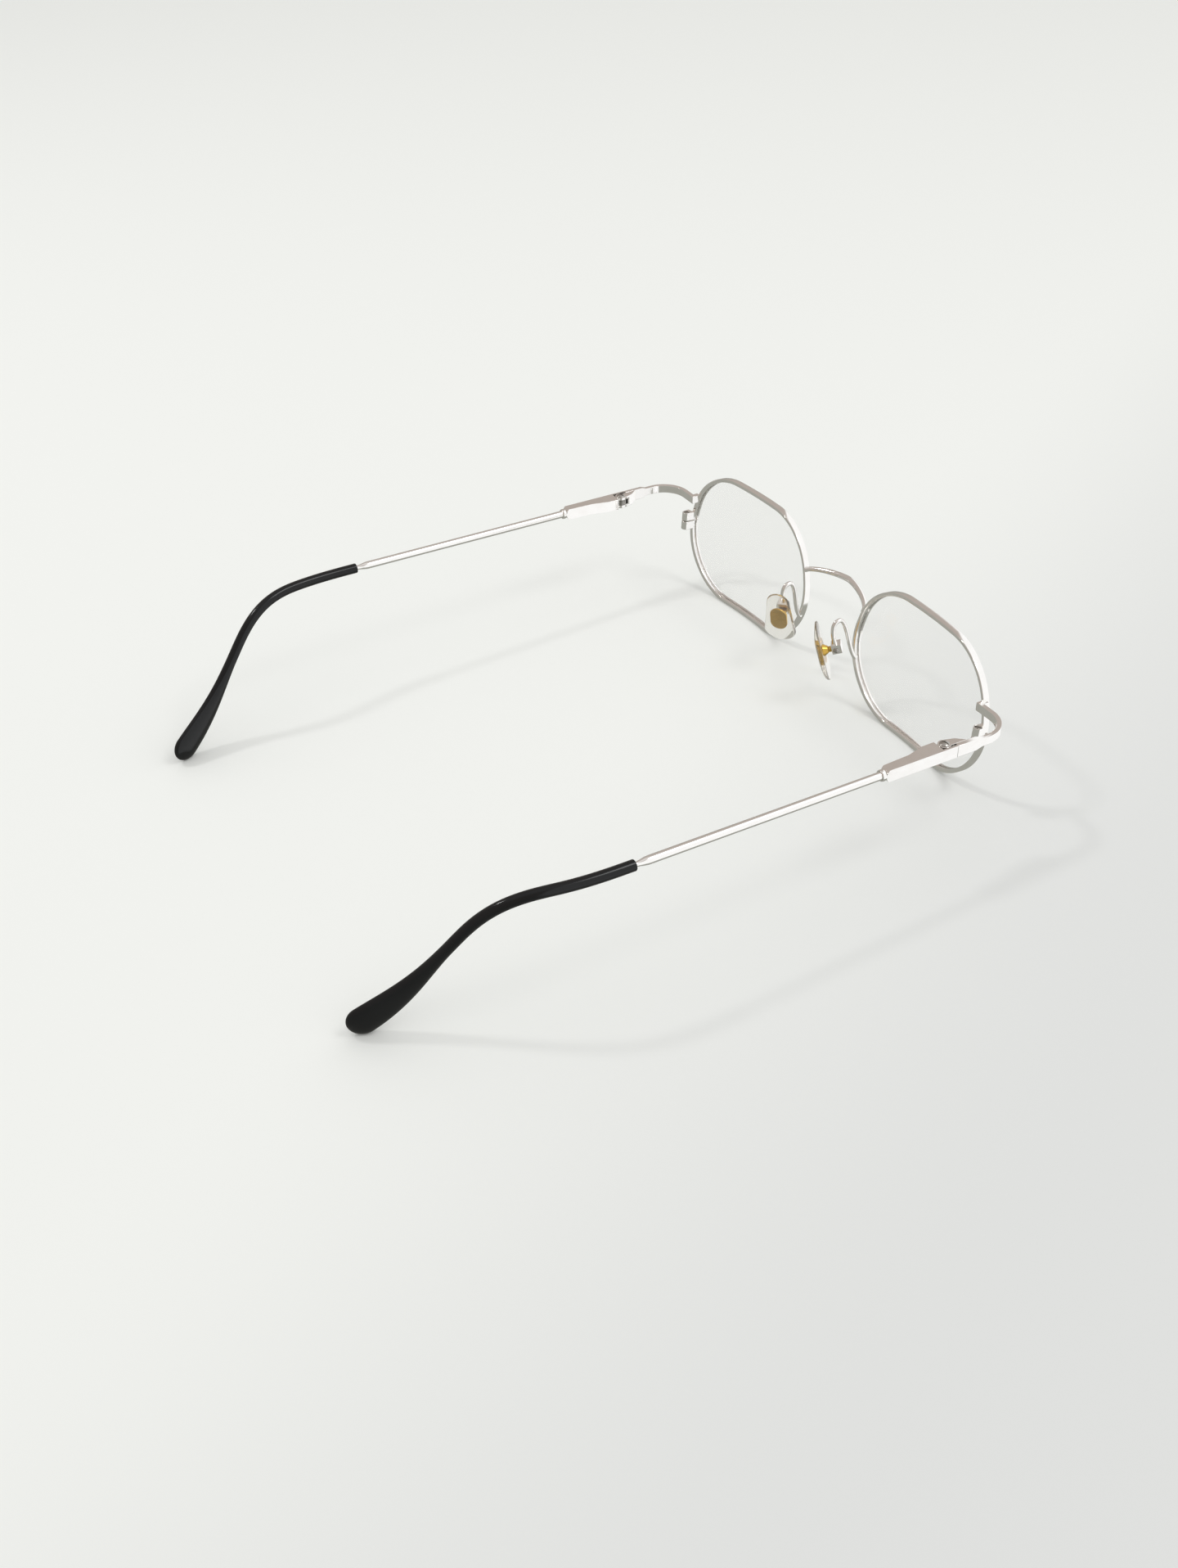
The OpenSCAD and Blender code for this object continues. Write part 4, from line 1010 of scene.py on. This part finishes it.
class PADS_OT_build(bpy.types.Operator):
    """Mould the clear nose pads"""

    bl_idname = "eyeglasses.nose_pads"
    bl_label = "Nose pads"

    def execute(self, context):
        p = settings("pad_sizes")
        steps, edge_steps, edge = 14, 6, p.pad_edge
        lip = edge / 2  # the height at which the edge reaches furthest out
        outer = drop_outline(p.pad_length, p.pad_width, p.pad_top)
        inner = drop_outline(p.pad_length - 2 * edge, p.pad_width - 2 * edge, p.pad_top - 2 * edge)

        def crown(z, y):
            return p.pad_thickness - p.dome + math.sqrt(p.dome**2 - z * z - y * y)

        def ring(height, size=1.0, out=0.0):
            """A ring at a share of the outlines' size, some way from the inner one out to the outer one."""
            points = []
            for near, far in zip(inner, outer):
                (z, y), (far_z, far_y) = scaled(near, size), scaled(far, size)
                points.append(Vector((p.stand + height(z, y), y + (far_y - y) * out, z + (far_z - z) * out)))
            return points

        turns = [math.pi / 2 * k / edge_steps for k in range(1, edge_steps + 1)]
        rings = [ring(lambda z, y: 0, k / steps) for k in range(1, steps + 1)]
        for a in turns:
            rings.append(ring(lambda z, y: lip * (1 - math.cos(a)), out=math.sin(a)))
        for a in turns:
            rings.append(ring(lambda z, y: lip + (crown(z, y) - lip) * math.sin(a), out=math.cos(a)))
        rings += [ring(crown, k / steps) for k in range(steps - 1, 0, -1)]
        ends = [Vector((p.stand, 0, 0)), Vector((p.stand + crown(0, 0), 0, 0))]
        name, node = "nose_pad_moulded", "nose_pad"
        pair(name, node, "pad_clear", 180, lambda side: lofted(rings, side, pad_frame(), ends))
        return {"FINISHED"}


# CAD solids whose edges are broken: node, slot and width of the broken edge in mm
SOFTENED = (
    ("closing_block_upper", "frame_metal", 0.12),
    ("closing_block_lower", "frame_metal", 0.12),
    ("end_piece", "frame_metal", 0.16),
    ("hinge_front", "frame_metal", 0.08),
    ("temple_box", "frame_metal", 0.3),
    ("temple_collar", "frame_metal", 0.06),
    ("pad_box", "frame_metal", 0.1),
    ("pad_insert", "pad_gold", 0.08),
)
# Facets that turn by less than the first angle are one face, and edges that turn by more than the second are broken
FACET_TURN, EDGE_TURN = math.radians(0.6), math.radians(40)


def softened_copy(node, width):
    """A copy of a CAD solid with its facets joined into plain faces and its outer edges broken."""
    shape = bmesh.new()
    shape.from_mesh(frame["nodes"][node].data)
    bmesh.ops.remove_doubles(shape, verts=shape.verts, dist=SAME_CAD_POINT)
    bmesh.ops.dissolve_limit(shape, angle_limit=FACET_TURN, verts=shape.verts, edges=shape.edges)
    broken = shape.edges.layers.float.new("bevel_weight_edge")
    for edge in shape.edges:
        outer = len(edge.link_faces) == 2 and edge.is_convex
        edge[broken] = 1.0 if outer and edge.calc_face_angle() > EDGE_TURN else 0.0
    mesh = bpy.data.meshes.new("softened")
    shape.to_mesh(mesh)
    shape.free()
    # Number 0 is for the plain faces and number 1 for the broken edges
    mesh.materials.append(None)
    mesh.materials.append(None)
    return settled(formed(mesh, "BEVEL", material=1, width=width * MM, segments=3, limit_method="WEIGHT"))


class FITTINGS_OT_build(bpy.types.Operator):
    """Break the edges of the small metal fittings"""

    bl_idname = "eyeglasses.fittings"
    bl_label = "Metal fittings"

    def execute(self, context):
        for node, slot, width in SOFTENED:
            pair(node, node, slot, 35, lambda side: softened_copy(f"{side}_{node}", width))
        return {"FINISHED"}


# Head diameter and height, crown, shank diameter and length, slot width and depth in mm, slot turn in degrees
SCREWS = {
    "closing_screw": (1.5, 0.6, 0.08, 1.1, 3.9, 0.3, 0.3, 30),
    "hinge_screw": (2.1, 0.45, 0.36, 1.2, 2.8, 0.3, 0.26, 20),
    "pad_screw": (1.3, 0.4, 0.3, 0.8, 2.4, 0.26, 0.2, 90),
}
# Distance of each head's seat from the slit or the joint's middle, and of the closing screw behind the rim
CLOSING_SEAT, HINGE_SEAT, PAD_SEAT, CLOSING_BACK = 1.71 * MM, 1.41 * MM, 1.21 * MM, 1.6 * MM


class SCREWS_OT_build(bpy.types.Operator):
    """Set the slotted screws of closing blocks, hinges and pad boxes"""

    bl_idname = "eyeglasses.screws"
    bl_label = "Screws"

    def execute(self, context):
        s = settings("front_sizes")
        x = s.lens_width / 2 + s.rim_width
        y = sag(x, s.slit_height, s.base - s.rim_depth / 2) + CLOSING_BACK
        seats = {
            "closing_screw": (lens_frame(), (x, y, s.slit_height + CLOSING_SEAT), UP),
            "hinge_screw": (temple_frame(), (0, 0, HINGE_SEAT), UP),
            "pad_screw": (pad_frame(), (0, -PAD_SEAT, 0), Vector((0, -1, 0))),
        }
        tree = screw_tree()
        for node, (place, point, axis) in seats.items():
            spot, way = place @ Vector(point), place.to_3x3() @ axis
            source = bpy.data.meshes.new("screw_points")
            source.from_pydata([tuple(spot), (-spot.x, spot.y, spot.z)], [], [])
            axes = source.attributes.new("screw_axis", "FLOAT_VECTOR", "POINT")
            axes.data.foreach_set("vector", [*way, -way.x, way.y, way.z])
            *sizes, turn = SCREWS[node]
            values = {**dict(zip(SCREW_LENGTHS, scaled(sizes, MM))), "Slot turn": math.radians(turn)}
            values["Material"] = finish_of("screw_steel")
            mesh = settled(grown(source, tree, values))
            piece(node + "s", mesh, "screw_steel", 30, "left_" + node, "right_" + node)
        return {"FINISHED"}


class WORKS_OT_build(bpy.types.Operator):
    """Finish the works inside the sprung boxes"""

    bl_idname = "eyeglasses.works"
    bl_label = "Hinge works"

    def execute(self, context):
        inner = {
            "hinge_bush": "bush_brass",
            "spring_stop": "bush_brass",
            "hinge_slider": "slider_steel",
            "hinge_spring": "slider_steel",
        }
        for side in SIDES:
            for kind, slot in inner.items():
                materials = frame["nodes"][f"{side}_{kind}"].data.materials
                materials.clear()
                materials.append(finish_of(slot))
        return {"FINISHED"}


# Stage: where the photograph was taken from, in the part's own frame

CAMERA_AT = (-0.2684, 0.1346, 0.2213)
CAMERA_YAW, CAMERA_PITCH, CAMERA_ROLL = (math.radians(a) for a in (-117.3, 36.97, -3.3))
FOCAL_PIXELS, PICTURE_HEIGHT, SENSOR = 2037, 1916, 36
# Strength of the even light. The softboxes' levels are on the same scale
AMBIENT = 0.8
# Way towards which the paper gets paler, a painted fall-off of the light, and the distances along it at which it is
# darkest and palest
PALER, PALER_FROM = Vector((0.9, 0.44, 0)), (-0.14, 0.0)
PAPER_REACH = 4.0
# The mirrored room by direction: its window's way and how far round it reaches, then the heights at which the
# table's edge hides the window, the grey below turns to beige and the ceiling gets bright
WINDOW_WAY, WINDOW_EDGE = Vector((-0.45, -0.89, 0)), (0.33, 0.39)
TABLE_EDGE, HORIZON, CEILING = (-0.66, -0.61), (-0.2, 0.3), (0.75, 1.0)
CEILING_SHARE = 0.5
WHITE = (1, 1, 1)


def add_camera(scene):
    """The camera at the photograph's place and angle."""
    data = bpy.data.cameras.new("photo_camera")
    data.sensor_fit = "VERTICAL"
    data.sensor_height = SENSOR
    data.lens = FOCAL_PIXELS / PICTURE_HEIGHT * SENSOR
    data.clip_start = 0.01
    data.clip_end = 20
    camera = placed("photo_camera", data)
    tilt = math.pi / 2 - CAMERA_PITCH
    turn = Matrix.Rotation(CAMERA_YAW, 4, "Z") @ Matrix.Rotation(tilt, 4, "X") @ Matrix.Rotation(CAMERA_ROLL, 4, "Z")
    camera.matrix_world = Matrix.Translation(CAMERA_AT) @ turn
    scene.camera = camera


def add_softbox(name, place, size, level):
    """A square softbox that faces the glasses. The level is the light that it alone gives the paper."""
    place = Vector(place)
    data = bpy.data.lights.new(name, "AREA")
    data.shape = "SQUARE"
    data.size = size
    data.energy = level * math.pi**2 * place.length**3 / place.z
    box = placed(name, data)
    box.location = place
    box.rotation_euler = place.to_track_quat("Z", "Y").to_euler()


def seamless_paper(tree):
    """Seamless paper: matt off-white with a hardly visible tooth, and painted shade that darkens it towards one side.
    Mirroring surfaces see the room in its place.

    The real tooth is some tenths of a millimetre wide and is drawn coarser.
    """
    f = settings("finishes")
    place = put(tree, "ShaderNodeTexCoord").outputs["Object"]
    # Painted shade: the paper's tone darkens along one way across the table, in place of the light's fall-off
    ahead = put(tree, VECTOR_MATH, place, PALER, operation="DOT_PRODUCT")
    painted_falloff = put(tree, RAMP, ahead, *PALER_FROM, 0, 1, interpolation_type="SMOOTHSTEP")
    tone = put(tree, "ShaderNodeMix", named={0: painted_falloff, 6: f.floor_painted_shade, 7: f.floor}, data_type="RGBA")
    tooth = {"Height": speckle(tree, 0.6 * MM, detail=5.0), "Distance": 0.01 * MM, "Strength": 1.0}
    sockets = {
        "Base Color": tone,
        "Roughness": 0.95,
        "Specular IOR Level": 0.1,
        "Normal": put(tree, "ShaderNodeBump", named=tooth),
    }
    shader = put(tree, "ShaderNodeBsdfPrincipled", named=sockets)
    away = put(tree, "ShaderNodeBsdfTransparent")
    return {"Surface": put(tree, "ShaderNodeMixShader", mirror_rays(tree), shader, away)}


def add_world(scene):
    """An even pale light. Surfaces that mirror see a dim room, beige above and grey below, with a white window."""
    f = settings("finishes")
    scene.world = bpy.data.worlds.new("pale_room")
    scene.world.use_nodes = True
    tree = scene.world.node_tree
    tree.nodes.clear()
    place = put(tree, "ShaderNodeTexCoord").outputs["Object"]
    direction = put(tree, VECTOR_MATH, place, operation="NORMALIZE")
    height = put(tree, "ShaderNodeSeparateXYZ", direction).outputs["Z"]
    above = put(tree, RAMP, height, *HORIZON, 0, 1)
    dim = put(tree, "ShaderNodeMix", named={0: above, 6: f.room_low, 7: f.room}, data_type="RGBA")
    towards = put(tree, VECTOR_MATH, direction, WINDOW_WAY, operation="DOT_PRODUCT")
    window = put(tree, RAMP, towards, *WINDOW_EDGE, 0, 1, interpolation_type="SMOOTHSTEP")
    pane = put(tree, MATH, window, put(tree, RAMP, height, *TABLE_EDGE, 0, 1), operation="MULTIPLY")
    ceiling = put(tree, RAMP, height, *CEILING, 0, CEILING_SHARE)
    bright = put(tree, MATH, ceiling, pane, operation="MAXIMUM")
    mirrored = put(tree, "ShaderNodeMix", named={0: bright, 6: dim, 7: WHITE}, data_type="RGBA")
    room = put(tree, "ShaderNodeBackground", mirrored, 1.0)
    even = put(tree, "ShaderNodeBackground", WHITE, AMBIENT)
    put(tree, "ShaderNodeOutputWorld", put(tree, "ShaderNodeMixShader", mirror_rays(tree), even, room))


class STAGE_OT_build(bpy.types.Operator):
    """Lay the paper and set lamps and camera"""

    bl_idname = "eyeglasses.stage"
    bl_label = "Stage"

    def execute(self, context):
        scene = context.scene
        mesh = bpy.data.meshes.new("paper_sheet")
        corners = [(x * PAPER_REACH, y * PAPER_REACH, 0) for x, y in ((-1, -1), (1, -1), (1, 1), (-1, 1))]
        mesh.from_pydata(corners, [], [(0, 1, 2, 3)])
        mesh.materials.append(coated(seamless_paper))
        floor = placed("paper_sheet", mesh)
        add_softbox("key_softbox", (0.48, 0.4, 0.8), size=0.1, level=0.09)
        add_softbox("window_softbox", (-0.44, -0.51, 1.0), size=0.35, level=0.1)
        add_world(scene)
        add_camera(scene)
        scene.view_settings.view_transform = "Standard"
        return {"FINISHED"}


# Add-on


class EYEGLASSES_PT_pieces(bpy.types.Panel):
    """Lists the pieces in the sidebar"""

    bl_idname = "EYEGLASSES_PT_pieces"
    bl_label = "Eyeglasses"
    bl_space_type = "VIEW_3D"
    bl_region_type = "UI"
    bl_category = "Eyeglasses"

    def draw(self, context):
        for operator in OPERATORS:
            self.layout.operator(operator.bl_idname)


GROUPS = {"front_sizes": FrontSizes, "pad_sizes": PadSizes, "temple_sizes": TempleSizes, "finishes": Finishes}
OPERATORS = (
    RIMS_OT_build,
    LENSES_OT_build,
    BRIDGE_OT_build,
    ARMS_OT_build,
    PADS_OT_build,
    FITTINGS_OT_build,
    SCREWS_OT_build,
    WORKS_OT_build,
    WIRES_OT_build,
    TIPS_OT_build,
    STAGE_OT_build,
)


def register():
    """Registers the groups, the operators and the panel."""
    for name, group in GROUPS.items():
        bpy.utils.register_class(group)
        setattr(bpy.types.Scene, name, PointerProperty(type=group))
    for kind in (*OPERATORS, EYEGLASSES_PT_pieces):
        bpy.utils.register_class(kind)


def unregister():
    """Takes them out again."""
    for kind in (EYEGLASSES_PT_pieces, *reversed(OPERATORS)):
        bpy.utils.unregister_class(kind)
    for name, group in GROUPS.items():
        delattr(bpy.types.Scene, name)
        bpy.utils.unregister_class(group)


def main():
    """Builds every piece in order."""
    register()
    for operator in OPERATORS:
        family, step = operator.bl_idname.split(".")
        getattr(getattr(bpy.ops, family), step)()


if __name__ == "__main__":
    main()
